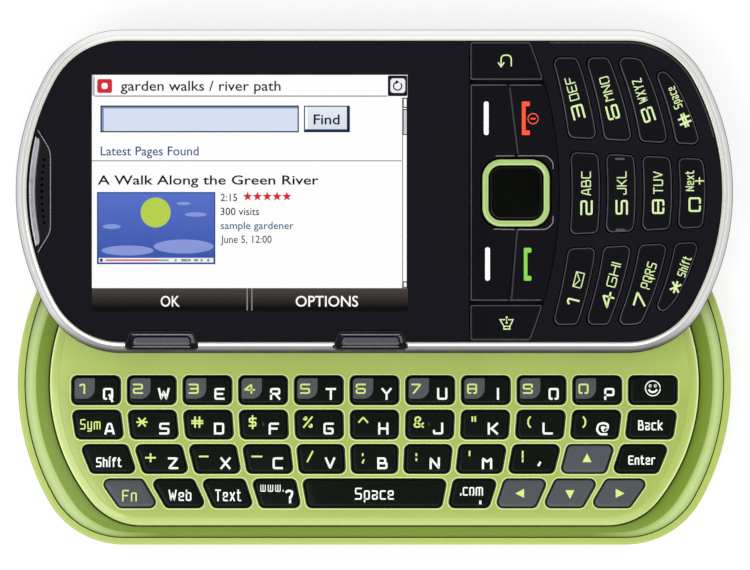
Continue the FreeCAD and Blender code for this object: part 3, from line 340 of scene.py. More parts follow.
# Painted highlight: the colour is brightest at the bead.
shade = node("ValToRGB", across, stops=[
    (0.0, "#dfe9a2"), (0.10, "#e6f0ac"), (0.20, "#b3c766"), (0.5, "#a6bc5a"), (1.0, "#a8be5a")])
near_low_edge = node("MapRange", node("SeparateXYZ", place, out="Y"), -0.0165, -0.0205, 0.0, 0.9)
near_bead = node("Math", across, -0.95, 1.0, operation="MULTIPLY_ADD")
colour = node("MixRGB", node("Math", near_low_edge, near_bead, operation="MULTIPLY"), shade, "#acbb60")
grain = node("TexNoise", Vector=place, Scale=7000.0, Detail=3.0)
relief = node("Bump", Height=grain, Strength=0.4, Distance=0.000001)
node("OutputMaterial", node("BsdfPrincipled", colour, Roughness=0.3, Normal=relief, Coat_Weight=0.3,
                            Coat_Roughness=0.05))
slope = new_piece("deck_slope", *skin(slope_rings, ring_closed=True), slope_lime, "lower_half",
                  slot="green_shell")
store(slope, "across", np.repeat([inset / slope_width for inset, z in slope_fall], slope_rings.shape[1]))


# ---- Keyboard caps ------------------------------------------------------------------------
# Four rows of glossy near-black caps moulded on one rubber mat, with softly rounded tops.
# Equal keys fill each row; the sides of the lower rows lean towards the middle.

deck_half_length, deck_half_width = DECK[0], DECK[1]
key_pitch_y = 5.3
key_height_y = 4.5
deck_margin_y = 2.7
top_row_y = -deck_half_width + deck_margin_y + 3 * key_pitch_y + key_height_y
row_ends = np.array([3.4, 3.75, 5.5, 9.1])
row_ribs = np.array([1.18, 1.22, 1.09, 1.1])
row_leans = np.array([0.0, 0.136, 0.38, 0.72]) / 42.0
space_half = 10.7
cap_low, cap_high = 7.42, 8.4
cap_play = 0.15                  # gap between a cap and its opening
cap_corner, cap_rounding, cap_crown = 0.75, 0.42, 0.02


def filled(start, end, count, rib):
    """Left and right side of equal keys from start to end with a rib between each two."""
    width = (end - start - rib * (count - 1)) / count
    left = start + np.arange(count) * (width + rib)
    return np.stack([left, left + width], 1)


def row_sides(row):
    end = deck_half_length - row_ends[row]
    if row < 3:
        return filled(-end, end, 11, row_ribs[row])
    start = space_half + row_ribs[row]
    left = filled(-end, -start, 4, row_ribs[row])
    return np.concatenate([left, [(-space_half, space_half)], filled(start, end, 4, row_ribs[row])])


def key_corners(sides, row, shrink):
    """Four corners of a key, anticlockwise from the lower left. A side at distance x from the
    middle is moved by lean times x for one unit of height."""
    middle = top_row_y - row * key_pitch_y - key_height_y / 2
    reach = key_height_y / 2 - shrink
    x = np.array([sides[0] + shrink, sides[1] - shrink, sides[1] - shrink, sides[0] + shrink])
    y = np.array([-reach, -reach, reach, reach])
    return np.stack([x + row_leans[row] * x * y, middle + y], 1)


def soft_corners(corners, radius, steps=6):
    """A closed polygon with every corner turned into an arc that touches both of its sides.
    radius is one number or one for each corner; hollow corners turn the other way."""
    corners = np.asarray(corners, float)
    radius = np.broadcast_to(np.asarray(radius, float), len(corners))
    back = np.roll(corners, 1, 0) - corners
    ahead = np.roll(corners, -1, 0) - corners
    back /= np.linalg.norm(back, axis=1, keepdims=True)
    ahead /= np.linalg.norm(ahead, axis=1, keepdims=True)
    turn = back[:, 1] * ahead[:, 0] - back[:, 0] * ahead[:, 1]
    half = np.arccos(np.clip((back * ahead).sum(1), -1, 1)) / 2
    way = np.where(turn >= 0, 1.0, -1.0)
    middle = back + ahead
    middle /= np.linalg.norm(middle, axis=1, keepdims=True)
    centre = corners + middle * (radius / np.sin(half))[:, None]
    touch = corners + back * (radius / np.tan(half))[:, None] - centre
    start = np.arctan2(touch[:, 1], touch[:, 0])
    angle = start[:, None] + (way * (math.pi - 2 * half))[:, None] * np.linspace(0, 1, steps)
    arcs = centre[:, None] + radius[:, None, None] * np.stack([np.cos(angle), np.sin(angle)], -1)
    return arcs.reshape(-1, 2)


def moved_in(outline, inset):
    """Every point of a closed outline moved inward, square to its two neighbours' join."""
    along = np.roll(outline, -1, 0) - outline
    along /= np.maximum(np.linalg.norm(along, axis=1, keepdims=True), 1e-9)
    normal = np.stack([-along[:, 1], along[:, 0]], 1)
    both = normal + np.roll(normal, 1, 0)
    both /= np.maximum(np.linalg.norm(both, axis=1, keepdims=True), 1e-9)
    reach = 1 / np.maximum((both * normal).sum(1), 0.5)
    return outline + both * (inset * reach)[:, None]


def cap(outline, low, high, rounding, steps=5, crown=0.0):
    """A key cap: upright wall, a quarter-round edge of the given radius and a nearly flat top
    that climbs by crown towards its middle."""
    turn = np.linspace(0, math.pi / 2, steps)
    insets = np.concatenate([[0.0], rounding * (1 - np.cos(turn))])
    heights = np.concatenate([[low], high - rounding + rounding * np.sin(turn)])
    rings = [at_height(moved_in(outline, i), z) for i, z in zip(insets, heights)]
    inner = rings[-1][:, :2]
    middle = inner.mean(0)
    for share in (0.12, 0.4, 0.75):
        z = high + crown * math.sin(share * math.pi / 2)
        rings.append(at_height(inner + (middle - inner) * share, z))
    return skin(rings)


def gather(surfaces):
    """Several surfaces as one list of points and one of faces."""
    points, faces, start = [], [], 0
    for more, sides in surfaces:
        points.append(np.asarray(more, float).reshape(-1, 3))
        faces.extend([[corner + start for corner in side] for side in sides])
        start += len(points[-1])
    return np.concatenate(points), faces


key_gloss = finish("key_gloss", "#070e08", 0.3, cloud=0.10, grain=0.25, bump=0.002, shine=0.1)
grey_gloss = finish("grey_gloss", "#4a4f53", 0.3, cloud=0.05, grain=0.25, bump=0.002, shine=0.25)
row_groups = {
    "keys_row_q": [(0, i) for i in range(11)],
    "keys_row_a": [(1, i) for i in range(11)],
    "keys_row_z": [(2, i) for i in range(11) if i != 9],
    "keys_row_bottom": [(3, i) for i in (1, 2, 3, 5)],
    "space_bar": [(3, 4)],
}
grey_keys = {"keys_row_bottom": [(3, 0)], "arrow_keys": [(2, 9), (3, 6), (3, 7), (3, 8)]}


def key_cap(row, i):
    outline = soft_corners(key_corners(row_sides(row)[i], row, cap_play), cap_corner)
    return cap(outline, cap_low, cap_high, cap_rounding, 6, cap_crown)


for kind, groups, gloss, slot in (("caps_", row_groups, key_gloss, "black_gloss"),
                                  ("grey_caps_", grey_keys, grey_gloss, "grey_cap")):
    for group, keys in groups.items():
        caps = gather([key_cap(row, i) for row, i in keys])
        new_piece(kind + group, *caps, gloss, "press_" + group, (group,), slot)


# ---- Keyboard legends ---------------------------------------------------------------------
# Letters, signs and words pad-printed on the caps in white and pale green. The lettering is
# a squarish one-line alphabet; each line is a thin ribbon that stands on the cap.

# Strokes on a grid: two characters are one point (across, up), a slash starts the next stroke.
# Capitals are 6 wide and 8 high, small letters 5 wide and 6 high; a and b are 1 and 2 below.
STROKES = {
    "A": "00 28 48 60/12 52", "B": "00 08/08 58 54 04/54 64 60 00", "C": "68 08 00 60",
    "D": "00 08/08 68 60 00", "E": "68 08 00 60/04 54", "F": "68 08 00/04 54", "G": "68 08 00 60 64 34",
    "H": "08 00/68 60/04 64", "I": "08 00", "J": "68 60 00 02", "K": "08 00/68 24 60/04 24",
    "L": "08 00 60", "M": "00 08 35 68 60", "N": "00 08 60 68", "O": "30 00 08 68 60 30",
    "P": "00 08 68 63 03", "Q": "30 00 08 68 60 30/43 6b", "R": "00 08 68 64 04/34 60",
    "S": "68 08 04 64 60 00", "T": "08 68/38 30", "U": "08 00 60 68", "V": "08 30 68",
    "W": "08 20 46 60 88", "X": "00 68/08 60", "Y": "08 34 68/34 30", "Z": "08 68 00 60",
    "a": "06 56 50 00 03 53", "b": "08 00 50 56 06", "c": "56 06 00 50", "e": "03 53 56 06 00 50",
    "f": "48 18 10/06 36", "h": "08 00/06 56 50", "i": "06 00/08 19", "k": "08 00/56 13 50/03 13",
    "m": "00 06 86 80/46 40", "n": "00 06 56 50", "o": "20 00 06 56 50 20", "p": "0b 06 56 50 00",
    "r": "00 06 46", "t": "18 10 40/06 36", "w": "06 00 60 66/36 30", "x": "00 56/06 50",
    "y": "06 00 50/56 5b 0b", "0": "30 00 08 68 60 30", "1": "07 18 38 30", "2": "08 68 64 04 00 60",
    "3": "08 68 60 00/14 64", "4": "50 58 03 73", "5": "68 08 04 64 60 00", "6": "68 08 00 60 64 04",
    "7": "08 68 10", "8": "30 00 08 68 60 30/04 64", "9": "00 60 68 08 04 64", "*": "04 64/17 51/57 11",
    "#": "28 20/58 50/05 75/03 73", "$": "67 07 04 64 61 01/39 3a",
    "%": "08 28 26 06 08/68 00/42 62 60 40 42", "^": "04 38 64",
    "&": "70 15 17 28 48 57 56 02 10 40 73", '"': "08 05/38 35", "(": "28 06 02 20", ")": "08 26 22 00",
    "@": "64 42 35 55 52 74 77 48 17 03 20 60", "+": "36 30/03 63", "-": "04 64", "_": "04 84",
    "/": "00 68", ";": "05 06/11 0a", ":": "05 06/01 02", "'": "08 05", "!": "08 03/00 01",
    "?": "07 28 57 43 33 32/30 3a", ",": "11 0a", ".": "00 01",
}
LEVEL = {**{str(i): i for i in range(10)}, "a": -1, "b": -2}


def strokes_of(sign):
    strokes = STROKES[sign].split("/")
    return [np.array([(LEVEL[p[0]], LEVEL[p[1]]) for p in line.split()], float) for line in strokes]


def bent(line, radius, steps=3):
    """An open or closed stroke with each inner corner turned into a small arc."""
    if len(line) < 3:
        return line
    before, corner, after = line[:-2], line[1:-1], line[2:]
    back, ahead = before - corner, after - corner
    back_length = np.linalg.norm(back, axis=1, keepdims=True)
    ahead_length = np.linalg.norm(ahead, axis=1, keepdims=True)
    reach = np.minimum(radius, 0.45 * np.minimum(back_length, ahead_length))
    first = corner + back / back_length * reach
    last = corner + ahead / ahead_length * reach
    t = np.linspace(0, 1, steps)[:, None, None]
    arcs = first * (1 - t) ** 2 + corner * 2 * t * (1 - t) + last * t ** 2
    return np.concatenate([line[:1], arcs.transpose(1, 0, 2).reshape(-1, 2), line[-1:]])


def ribbon(line, width, low, high):
    """A thin flat strip of one width along a stroke, mitred where it turns, as a closed solid:
    each point becomes four corners, left and right of the stroke, below and above."""
    keep = np.concatenate([[True], np.linalg.norm(np.diff(line, axis=0), axis=1) > 1e-4])
    line = line[keep]
    along = np.diff(line, axis=0)
    along /= np.linalg.norm(along, axis=1, keepdims=True)
    along = np.concatenate([along[:1], along, along[-1:]])
    line[0] -= along[0] * width / 2
    line[-1] += along[-1] * width / 2
    normal = np.stack([-along[:, 1], along[:, 0]], 1)
    both = normal[:-1] + normal[1:]
    both /= np.maximum(np.linalg.norm(both, axis=1, keepdims=True), 1e-6)
    side = both * (width / 2 / np.maximum((both * normal[1:]).sum(1), 0.45))[:, None]
    left, right = line + side, line - side
    edges = ((right, low), (right, high), (left, high), (left, low))
    return skin(np.stack([at_height(edge, z) for edge, z in edges], 1))


def spin(degrees):
    """The matrix that turns rows of X and Y by an angle."""
    c, s = math.cos(math.radians(degrees)), math.sin(math.radians(degrees))
    return np.array([[c, s], [-s, c]])


def written(text, middle, height, stroke, low, high, squeeze=1.0, turn=0.0, gap=2.6, round_by=1.1):
    """Ribbons of a word centred on a point. height is a capital's height in mm, stroke the line
    width; squeeze narrows the letters, turn rotates the word in degrees about its middle."""
    scale = height / 8
    lines, cursor = [], 0.0
    for sign in text:
        shapes = strokes_of(sign)
        for shape in shapes:
            lines.append((bent(shape, round_by) * [squeeze, 1] + [cursor, 0]) * scale)
        cursor += max(shape[:, 0].max() for shape in shapes) * squeeze + gap
    width = (cursor - gap) * scale
    placed = [(line - [width / 2, height / 2]) @ spin(turn) + middle for line in lines]
    return [ribbon(line, stroke, low, high + 0.0015 * (n % 4)) for n, line in enumerate(placed)]


def ring_strip(x, y, radius, width, low, high, start=0.0, end=360.0):
    """A flat ring, or part of one, about a point."""
    angle = np.radians(np.linspace(start, end, 40))
    line = np.stack([x + radius * np.cos(angle), y + radius * np.sin(angle)], 1)
    return ribbon(line, width, low, high)


def plate(outline, low, high):
    return skin([at_height(outline, low), at_height(outline, high)])


def legend_place(row, i):
    """Middle of a key's top face."""
    return key_corners(row_sides(row)[i], row, 0).mean(0)


white_print = finish("white_print", "#f4f6f2", 0.5, cloud=0.02, grain=0.1)
green_print = finish("green_print", "#cfe27a", 0.5, cloud=0.03, grain=0.1)
patch_print = finish("patch_print", "#44484d", 0.35, cloud=0.04, grain=0.12, bump=0.002)
print_low, print_high = cap_high - 0.02, cap_high + 0.02
patch_share = (0.42, 0.70)       # width and height of a digit's grey corner as shares of the key's
main_signs = {0: "QWERTYUIOP", 1: "ASDFGHJKL@", 2: " ZXCVBNM,", 3: ""}
second_signs = {0: "1234567890", 1: " *#$%^&\"()", 2: " +-_/;:'!", 3: ""}

# For each key with a word: row and place in it, the word, its width, its shift in X and in Y,
# and a capital's height.
words = {(2, 0): ("Shift", 3.7, 0.05, -0.5, 1.28), (2, 10): ("Enter", 3.95, 0.25, -0.18, 1.2),
         (1, 10): ("Back", 3.55, -0.08, -0.11, 1.34), (3, 1): ("Web", 3.3, 0.18, -0.3, 1.5),
         (3, 2): ("Text", 3.8, 0.05, -0.3, 1.58), (3, 4): ("Space", 5.75, 0.0, -0.05, 1.62)}
sign_widths = {"$": 0.85, "%": 1.1, "&": 1.05, "^": 1.15, "#": 1.2, "*": 1.3, "+": 1.25, "-": 1.1,
               "_": 0.95, "/": 0.7}


def word_squeeze(text, height, width, gap=2.6):
    """How much to narrow a word's letters so that it is width long."""
    advance = sum(max(shape[:, 0].max() for shape in strokes_of(sign)) for sign in text)
    return (width / height * 8 - gap * (len(text) - 1)) / advance


def on_cap(text, x, y, height, stroke, squeeze, lift=0.0, **how):
    """A word printed on a key's cap about a point."""
    return written(text, (x, y), height, stroke, print_low, print_high + lift, squeeze, **how)


def row_legends(keys):
    """White and green printing of the keys of one group, set off in mm from each key's middle: a
    large sign low on the right, a smaller one on the left, a word or a little picture."""
    white, green = [], []
    for row, i in keys:
        x, y = legend_place(row, i)
        if i < len(main_signs[row]) and main_signs[row][i] != " ":
            across, drop = ((1.88, -0.57), (1.46, -0.62), (1.26, -0.66))[row]
            sign = main_signs[row][i]
            drop += 0.65 if sign == "," else 0.0
            across += (0.0, 0.35 - 0.085 * i, 0.63 - 0.13 * i)[row]
            wide = 1.0 if sign == "W" else 1.12
            tall = 1.75 if sign == "@" else 1.5
            white += on_cap(sign, x + across, y + drop, tall, 0.32, wide)
        if i < len(second_signs[row]) and second_signs[row][i] != " ":
            sign = second_signs[row][i]
            dx, dy, height, wide = (-2.1, 0.22, 1.32, 1.3) if row == 0 else (-1.72, 0.38, 1.5, 0.8)
            lift = 0.03 if row == 0 else 0.0
            green += on_cap(sign, x + dx, y + dy, height, 0.26, sign_widths.get(sign, wide), lift)
        if (row, i) in words:
            text, width, dx, dy, height = words[row, i]
            white += on_cap(text, x + dx, y + dy, height, 0.22, word_squeeze(text, height, width))
        if (row, i) == (0, 10):
            y += 0.28
            white.append(ring_strip(x, y, 1.14, 0.17, print_low, print_high))
            for eye_x in (x - 0.4, x + 0.4):
                white.append(ring_strip(eye_x, y + 0.38, 0.17, 0.13, print_low, print_high))
            white.append(ring_strip(x, y + 0.1, 0.68, 0.3, print_low, print_high, 215, 325))
        if (row, i) == (1, 0):
            green += on_cap("Sym", x - 1.15, y + 0.05, 1.4, 0.19, word_squeeze("Sym", 1.4, 2.95))
        if (row, i) == (3, 3):
            white += on_cap("www.", x - 0.75, y + 0.95, 1.25, 0.13, 0.74, gap=2.9, round_by=0.6)
            white += on_cap("?", x + 1.95, y - 0.35, 1.6, 0.34, 0.9)
        if (row, i) == (3, 5):
            white += on_cap(".com", x - 0.05, y + 0.5, 1.5, 0.2, 0.62, gap=2.2)
            white += on_cap(".", x + 1.3, y - 0.62, 1.8, 0.35, 1.0)
    return white, green


def arrow_plate(x, y, turn):
    """A filled triangle that points along an angle."""
    angle = np.radians(np.array([0, 125, 235]) + turn)
    corners = np.stack([x + 0.86 * np.cos(angle), y + 0.86 * np.sin(angle)], 1)
    return plate(corners, print_low, print_high)


def corner_patch(row, i):
    """The grey corner of a digit key: it follows the cap's upper left and ends in a large arc."""
    sides = row_sides(row)[i]
    left, top = key_corners(sides, row, cap_rounding)[3]
    wide, tall = patch_share[0] * (sides[1] - sides[0]), patch_share[1] * key_height_y
    outline = np.array([(left, top - tall), (left + wide, top - tall), (left + wide, top), (left, top)])
    return plate(soft_corners(outline, [0.3, 1.5, 0.12, 0.6]), print_low, print_high)


for group, keys in row_groups.items():
    white, green = row_legends(keys)
    new_piece("white_legends_" + group, *gather(white), white_print, "press_" + group)
    if green:
        new_piece("green_legends_" + group, *gather(green), green_print, "press_" + group)
patches = gather([corner_patch(0, i) for i in range(10)])
new_piece("digit_patches", *patches, patch_print, "press_keys_row_q")
fn_x, fn_y = legend_place(3, 0)
fn_word = on_cap("Fn", fn_x - 0.05, fn_y - 0.35, 1.58, 0.21, word_squeeze("Fn", 1.58, 2.05))
new_piece("fn_legend", *gather(fn_word), green_print, "press_keys_row_bottom")
arrows = zip(grey_keys["arrow_keys"], (90, 180, 270, 0))
arrows = gather([arrow_plate(*legend_place(*key), turn) for key, turn in arrows])
new_piece("arrow_legends", *arrows, green_print, "press_arrow_keys")


# ---- Key surrounds ------------------------------------------------------------------------
# Round each key the deck's opening has an inner wall painted dark, a painted shade for the gap
# round the key, and a softly raised edge painted a pale lime, a painted highlight; both are moulded
# with the deck. A small grey bar stands on the caps of F and J to guide the fingers.

opening_painted_shade = finish("opening_painted_shade", "#12200c", 0.5, cloud=0.1, grain=0.2)
opening_painted_highlight = finish("opening_painted_highlight", "#d3e58c", 0.32, cloud=0.03, grain=0.12, coat=0.2)
every_key = [(row, i) for row in range(4) for i in range(len(row_sides(row)))]
opening_corner = 0.9


def key_rings(section):
    """A ring round every key opening. The section gives how far outside the opening each line
    of the ring lies, and its height; outside it the ring is a little longer to both sides."""
    surfaces = []
    for row, i in every_key:
        sides = row_sides(row)[i]
        rings = []
        for out, z in section:
            corners = key_corners(sides + [-0.08, 0.12] if out > 0 else sides, row, -out)
            rings.append(at_height(soft_corners(corners, opening_corner + out), z))
        surfaces.append(skin(rings, ring_closed=True))
    return gather(surfaces)


# Painted shade on each opening's wall, then a painted highlight on the raised edge just outside it.
shade_section = [(-0.02, 7.6), (0.0, 7.6), (0.09, 8.05), (0.09, 8.112), (0.05, 8.125), (0.0, 8.12),
                (-0.02, 8.08)]
highlight_section = [(0.09, 8.05), (0.26, 8.06), (0.26, 8.10), (0.24, 8.112), (0.18, 8.128), (0.12, 8.125),
                (0.09, 8.11)]
new_piece("opening_walls", *key_rings(shade_section), opening_painted_shade, "lower_half", slot="green_channel")
new_piece("opening_edges", *key_rings(highlight_section), opening_painted_highlight, "lower_half", slot="green_shell")
feeler_grey = finish("feeler_grey", "#2f3436", 0.3, cloud=0.05, grain=0.1)
feelers = []
for i in (3, 6):
    line = legend_place(1, i) + np.array([(-0.1, 0.28), (-0.1, -0.12)])
    feelers.append(ribbon(line, 0.16, print_low, print_high + 0.04))
new_piece("finger_marks", *gather(feelers), feeler_grey, "press_keys_row_a", slot="grey_cap")


# ---- Slide mechanism ----------------------------------------------------------------------
# A pressed steel base plate with four shoes on the deck, the steel rail plate in the screen
# half's back, the bent-wire spring between them and the polyimide flex cable.

bent_wire = finish("bent_wire", "#8f9298", 0.3, metal=1.0, cloud=0.05, grain=0.1, bump=0.003)
rail_steel = finish("rail_steel", "#4a4c50", 0.35, metal=1.0, cloud=0.05, grain=0.15, bump=0.003)
smooth_solid("steel_base_plate", "slide_base_plate", rail_steel, "lower_half", "steel")
smooth_solid("steel_rail_plate", "slide_rail_plate", rail_steel, "upper_half", "steel")
smooth_solid("wire_spring", "slide_spring", bent_wire, "spring", "steel")


# ---- Back cover of the screen half --------------------------------------------------------
# A thin moulding in satin black plastic with a rounded lower edge. It closes the screen half
# from behind and holds the rail plate from outside.

black_satin = finish("black_satin", "#151518", 0.4, cloud=0.05, grain=0.12, bump=0.004)
smooth_solid("slider_back", "slider_back_cover", black_satin, "upper_half", "black_satin")


# ---- Plated rim ---------------------------------------------------------------------------
# A chrome-plated band round the screen half over a dark satin foot. From a thin rounded crest
# at the face it falls in one long curve to the side; its outer third is plated matt. Painted
# reflections run in bands across its colour: a dark outer line, greys, a white band and cream
# towards the face; on the far side the colour is painted nearly white, on the near side greyer.

SLID = 29.6                      # how far the screen half stands above the keyboard half in Y


def rim_ring(inset, z):
    return at_height(outline_of(HALF, inset, (40, 28, 310)) + [0, SLID], z)


foot_section = [(0.35, 9.45), (0.0, 9.45), (0.0, 13.55), (0.03, 13.66), (0.10, 13.7), (0.35, 13.7)]
foot_rings = [rim_ring(inset, z) for inset, z in foot_section]
fall_share = np.linspace(0, 1, 16)
crest_z, fall_depth, fall_width, band_width = 15.5, 1.35, 1.48, 1.75
band_section = [(band_width, 9.6), (0.3, 9.6), (0.12, 13.4), (0.085, 13.8), (0.085, 14.05)]
band_section += list(zip(0.1 + fall_width * fall_share, crest_z - fall_depth * (1 - fall_share) ** 2.1))
band_section += [(1.65, 15.49), (1.71, 15.44), (band_width, 15.34), (band_width, 15.2)]
band_rings = np.array([rim_ring(inset, z) for inset, z in band_section])

plated = bpy.data.materials.new("plated_chrome")
node = painter(plated)
place = node("TexCoord", out="Object")
across = node("Attribute", out="Fac", attribute_name="across")
# Painted reflection: grey, white and cream bands across the profile, with a nearly white copy for the far
# side and a greyer copy for the near side.
ends = node("ValToRGB", across, stops=[
    (0.0, "#4c4c50"), (0.05, "#8e8e91"), (0.13, "#cbcbcd"), (0.36, "#d4d4d5"), (0.42, "#fbfbfa"),
    (0.56, "#fdfdfb"), (0.62, "#dcdad3"), (0.80, "#e2e0d9"), (0.90, "#e6e4dc"), (1.0, "#b0ac9e")])
far_side_painted_reflection = node("ValToRGB", across, stops=[
    (0.0, "#6b6b6f"), (0.05, "#fbfbfa"), (0.80, "#fdfdfb"), (0.90, "#d9d4c8"), (1.0, "#aaa496")])
near_side_painted_reflection = node("ValToRGB", across, stops=[
    (0.0, "#5d5b5f"), (0.15, "#7b7a80"), (0.40, "#a19fa4"), (0.62, "#cac8cd"),
    (0.78, "#f4f4f4"), (0.90, "#b0aca5"), (1.0, "#655f5b")])
up = node("SeparateXYZ", place, out="Y")
to_far = node("MapRange", up, 0.0505, 0.0538)
to_near = node("MapRange", up, 0.011, 0.0062)
colour = node("MixRGB", to_near, node("MixRGB", to_far, ends, far_side_painted_reflection), near_side_painted_reflection)
drift = node("TexNoise", Vector=place, out="Color", Scale=5000.0, Detail=3.0)
colour = node("MixRGB", 0.03, colour, drift, blend_type="MULTIPLY")
gloss = node("ValToRGB", across, stops=[(0.0, 0.42), (0.38, 0.34), (0.48, 0.12), (1.0, 0.10)])
# Less metal towards the face and on the far side, so that the painted cream and white show as they are.
bare = node("ValToRGB", across, stops=[(0.0, 1.0), (0.74, 1.0), (0.84, 0.3), (1.0, 0.3)])
bare_ends = node("Math", to_far, -0.7, 1.0, operation="MULTIPLY_ADD")
metal = node("Math", bare, bare_ends, operation="MULTIPLY")
node("OutputMaterial", node("BsdfPrincipled", colour, Metallic=metal, Roughness=gloss))

half_width = HALF[1]
frame_low, frame_high = 0.4, 3.4     # an edge key's frame, up from the rim's near side
frame_outer, frame_inner = 6.0, 4.85     # half its length at these two sides
notch_floor, notch_reach, notch_taper = 14.9, 5.75, 0.8 / 3.0      # the rim is cut down under a frame


def edge_frame(x):
    """Corners of an edge key's frame, wider at the outer side, anticlockwise."""
    low, high = -half_width + frame_low + SLID, -half_width + frame_high + SLID
    ends = [(-frame_outer, low), (frame_outer, low), (frame_inner, high), (-frame_inner, high)]
    return np.array(ends) + [x, 0]


edge_key_places = {"left": -32.6, "right": -0.6}
band_x, band_y, band_z = band_rings.transpose(2, 0, 1)
for x in edge_key_places.values():
    reach_there = notch_reach - (band_y + half_width - frame_low - SLID) * notch_taper
    notched = (band_y > -half_width + 0.5 + SLID) & (band_y < SLID) & (np.abs(band_x - x) < reach_there)
    band_z[notched] = np.minimum(band_z[notched], notch_floor)
rim_band = new_piece("chrome_band", *skin(band_rings, ring_closed=True), plated, "upper_half",
                     ("chrome_rim",), "chrome")
band_shares = [min(inset / band_width, 1.0) for inset, z in band_section]
store(rim_band, "across", np.repeat(band_shares, band_rings.shape[1]))
new_piece("rim_foot", *skin(foot_rings, ring_closed=True), black_satin, "upper_half",
          ("chrome_rim",), "black_satin")


# ---- Front cover and window ---------------------------------------------------------------
# The high-gloss black face: a moulded cover round the keys and a black-printed window over
# the display, both flush inside the rim.

piano_black = finish("piano_black", "#121118", 0.07, cloud=0.15, grain=0.5, shine=0.35)
smooth_solid("face_cover", "front_cover", piano_black, "upper_half", "black_gloss")
smooth_solid("face_window", "display_window", piano_black, "upper_half", "window_glass")
panel_glass = finish("panel_glass", "#30343c", 0.2, cloud=0.05, grain=0.2)
dress(panel_glass, "display_panel")


# ---- Earpiece -----------------------------------------------------------------------------
# A dark mesh strip in a shallow recess beside the rim, behind a polished crescent that runs
# along the rim; a thin bright metal ribbon on the recess's far side is a painted highlight of its edge.

grille_steel = finish("grille_steel", "#100f13", 0.5, shine=0.1, cloud=0.05, grain=0.1, bump=0.003)
smooth_solid("earpiece_mesh", "earpiece_grille", grille_steel, "upper_half", "black_satin")
polished_trim = finish("polished_trim", "#b3b2ba", 0.36, metal=1.0, cloud=0.1, grain=0.6)
recess_edge_glint = finish("recess_edge_glint", "#a8a8ad", 0.3, metal=1.0, cloud=0.05, grain=0.3)
end_radius = HALF[2]
end_x = HALF[0] - end_radius


def crescent(inset, wide, half_height, low, high):
    """A strip of one width along the end arc with blunt rounded tips; its top falls away from
    the rim side in one soft curve."""
    along = np.linspace(-1, 1, 60)
    y = half_height * along
    breadth = wide * np.sqrt(np.maximum(1 - np.abs(along) ** 14, 0.0)) + 0.03
    outer_x = -end_x - np.sqrt((end_radius - inset) ** 2 - y ** 2)
    section = [(0.0, low - 0.25), (0.0, low + 0.1), (0.06, high - 0.02), (0.16, high), (0.55, high - 0.03),
               (0.82, high - 0.12), (1.0, low), (1.0, low - 0.25)]
    rings = [np.stack([outer_x + breadth * share, y + SLID, np.full_like(y, z)], 1) for share, z in section]
    return skin(np.array(rings).transpose(1, 0, 2)[::-1])


def circle(sides):
    """Corners of a regular polygon of radius one about the origin."""
    turn = np.linspace(0, 2 * math.pi, sides, endpoint=False)
    return np.stack([np.cos(turn), np.sin(turn)], 1)


trim = crescent(inset=2.08, wide=1.05, half_height=8.4, low=14.98, high=15.36)
new_piece("earpiece_crescent", *trim, polished_trim, "upper_half", slot="chrome")
# Painted highlight: the bright ribbon along the recess's far edge.
recess_corners = np.array([(-51.5, 9.3), (-49.6, 6.2), (-49.6, -6.2), (-51.5, -9.3)])
recess_line = bent(recess_corners, 1.0, 6) + [0, SLID]
new_piece("earpiece_recess_edge", *ribbon(recess_line, 0.14, 15.1, 15.235), recess_edge_glint, "upper_half",
          slot="chrome")
hole_radius, hole_pitch, hole_arc = 0.24, 0.965, 32.95
dots = []
for y in hole_pitch * np.arange(-5, 6):
    middle = np.array([-end_x - math.sqrt(hole_arc ** 2 - y ** 2), y + SLID])
    dots.append(plate(hole_radius * circle(16) + middle, 14.7, 14.83))
hole_black = finish("hole_black", "#020203", 0.9, shine=0.02, cloud=0.1, grain=0.3)
new_piece("earpiece_hole_shades", *gather(dots), hole_black, "upper_half", slot="black_satin")


# ---- Edge keys ----------------------------------------------------------------------------
# Two small pill-shaped soft keys at the lower edge of the face, each in a dark tapered frame
# that cuts into the rim.

pill_grey = finish("pill_grey", "#474650", 0.3, cloud=0.05, grain=0.25, coat=0.3)
frame_glint = finish("frame_glint", "#a2a1aa", 0.25, metal=0.4, cloud=0.1, grain=0.5)
edge_y = -22.9 + SLID
collar_section = [(0.0, 13.0), (0.0, 15.28), (0.05, 15.40), (0.14, 15.46), (0.24, 15.47)]
opening_section = [(0.0, 15.36), (0.0, 15.30), (0.04, 14.9), (0.04, 13.0)]


def rectangle(x0, y0, x1, y1):
    """Four corners, anticlockwise from the lower left."""
    return np.array([(x0, y0), (x1, y0), (x1, y1), (x0, y1)])


for side, x in edge_key_places.items():
    collar = soft_corners(edge_frame(x), [0.75, 0.75, 0.8, 0.8], 8)
    opening = soft_corners(rectangle(x - 4.55, edge_y - 0.8, x + 4.55, edge_y + 0.8), 0.7, 8)
    rings = [at_height(moved_in(collar, inset), z) for inset, z in collar_section]
    rings += [at_height(moved_in(opening, inset), z) for inset, z in opening_section]
    new_piece("edge_collar_" + side, *skin(rings, ring_closed=True), piano_black, "upper_half",
              slot="black_gloss")
    pill = soft_corners(rectangle(x - 4.3, edge_y - 0.55, x + 4.3, edge_y + 0.55), 0.45, 8)
    new_piece("edge_cap_" + side, *cap(pill, 12.85, 15.45, 0.22), pill_grey, "press_edge_key_" + side,
              ("edge_key_" + side,), "grey_cap")
    # Painted highlight: two thin bright lines along each frame's opening, above and below the pill.
    lines = [ribbon(np.array([(x - reach, edge_y + up), (x + reach, edge_y + up)]), 0.11, 15.3, 15.485)
             for reach, up in ((4.5, 0.96), (4.3, -0.92))]
    new_piece("edge_lines_" + side, *gather(lines), frame_glint, "upper_half", slot="black_gloss")


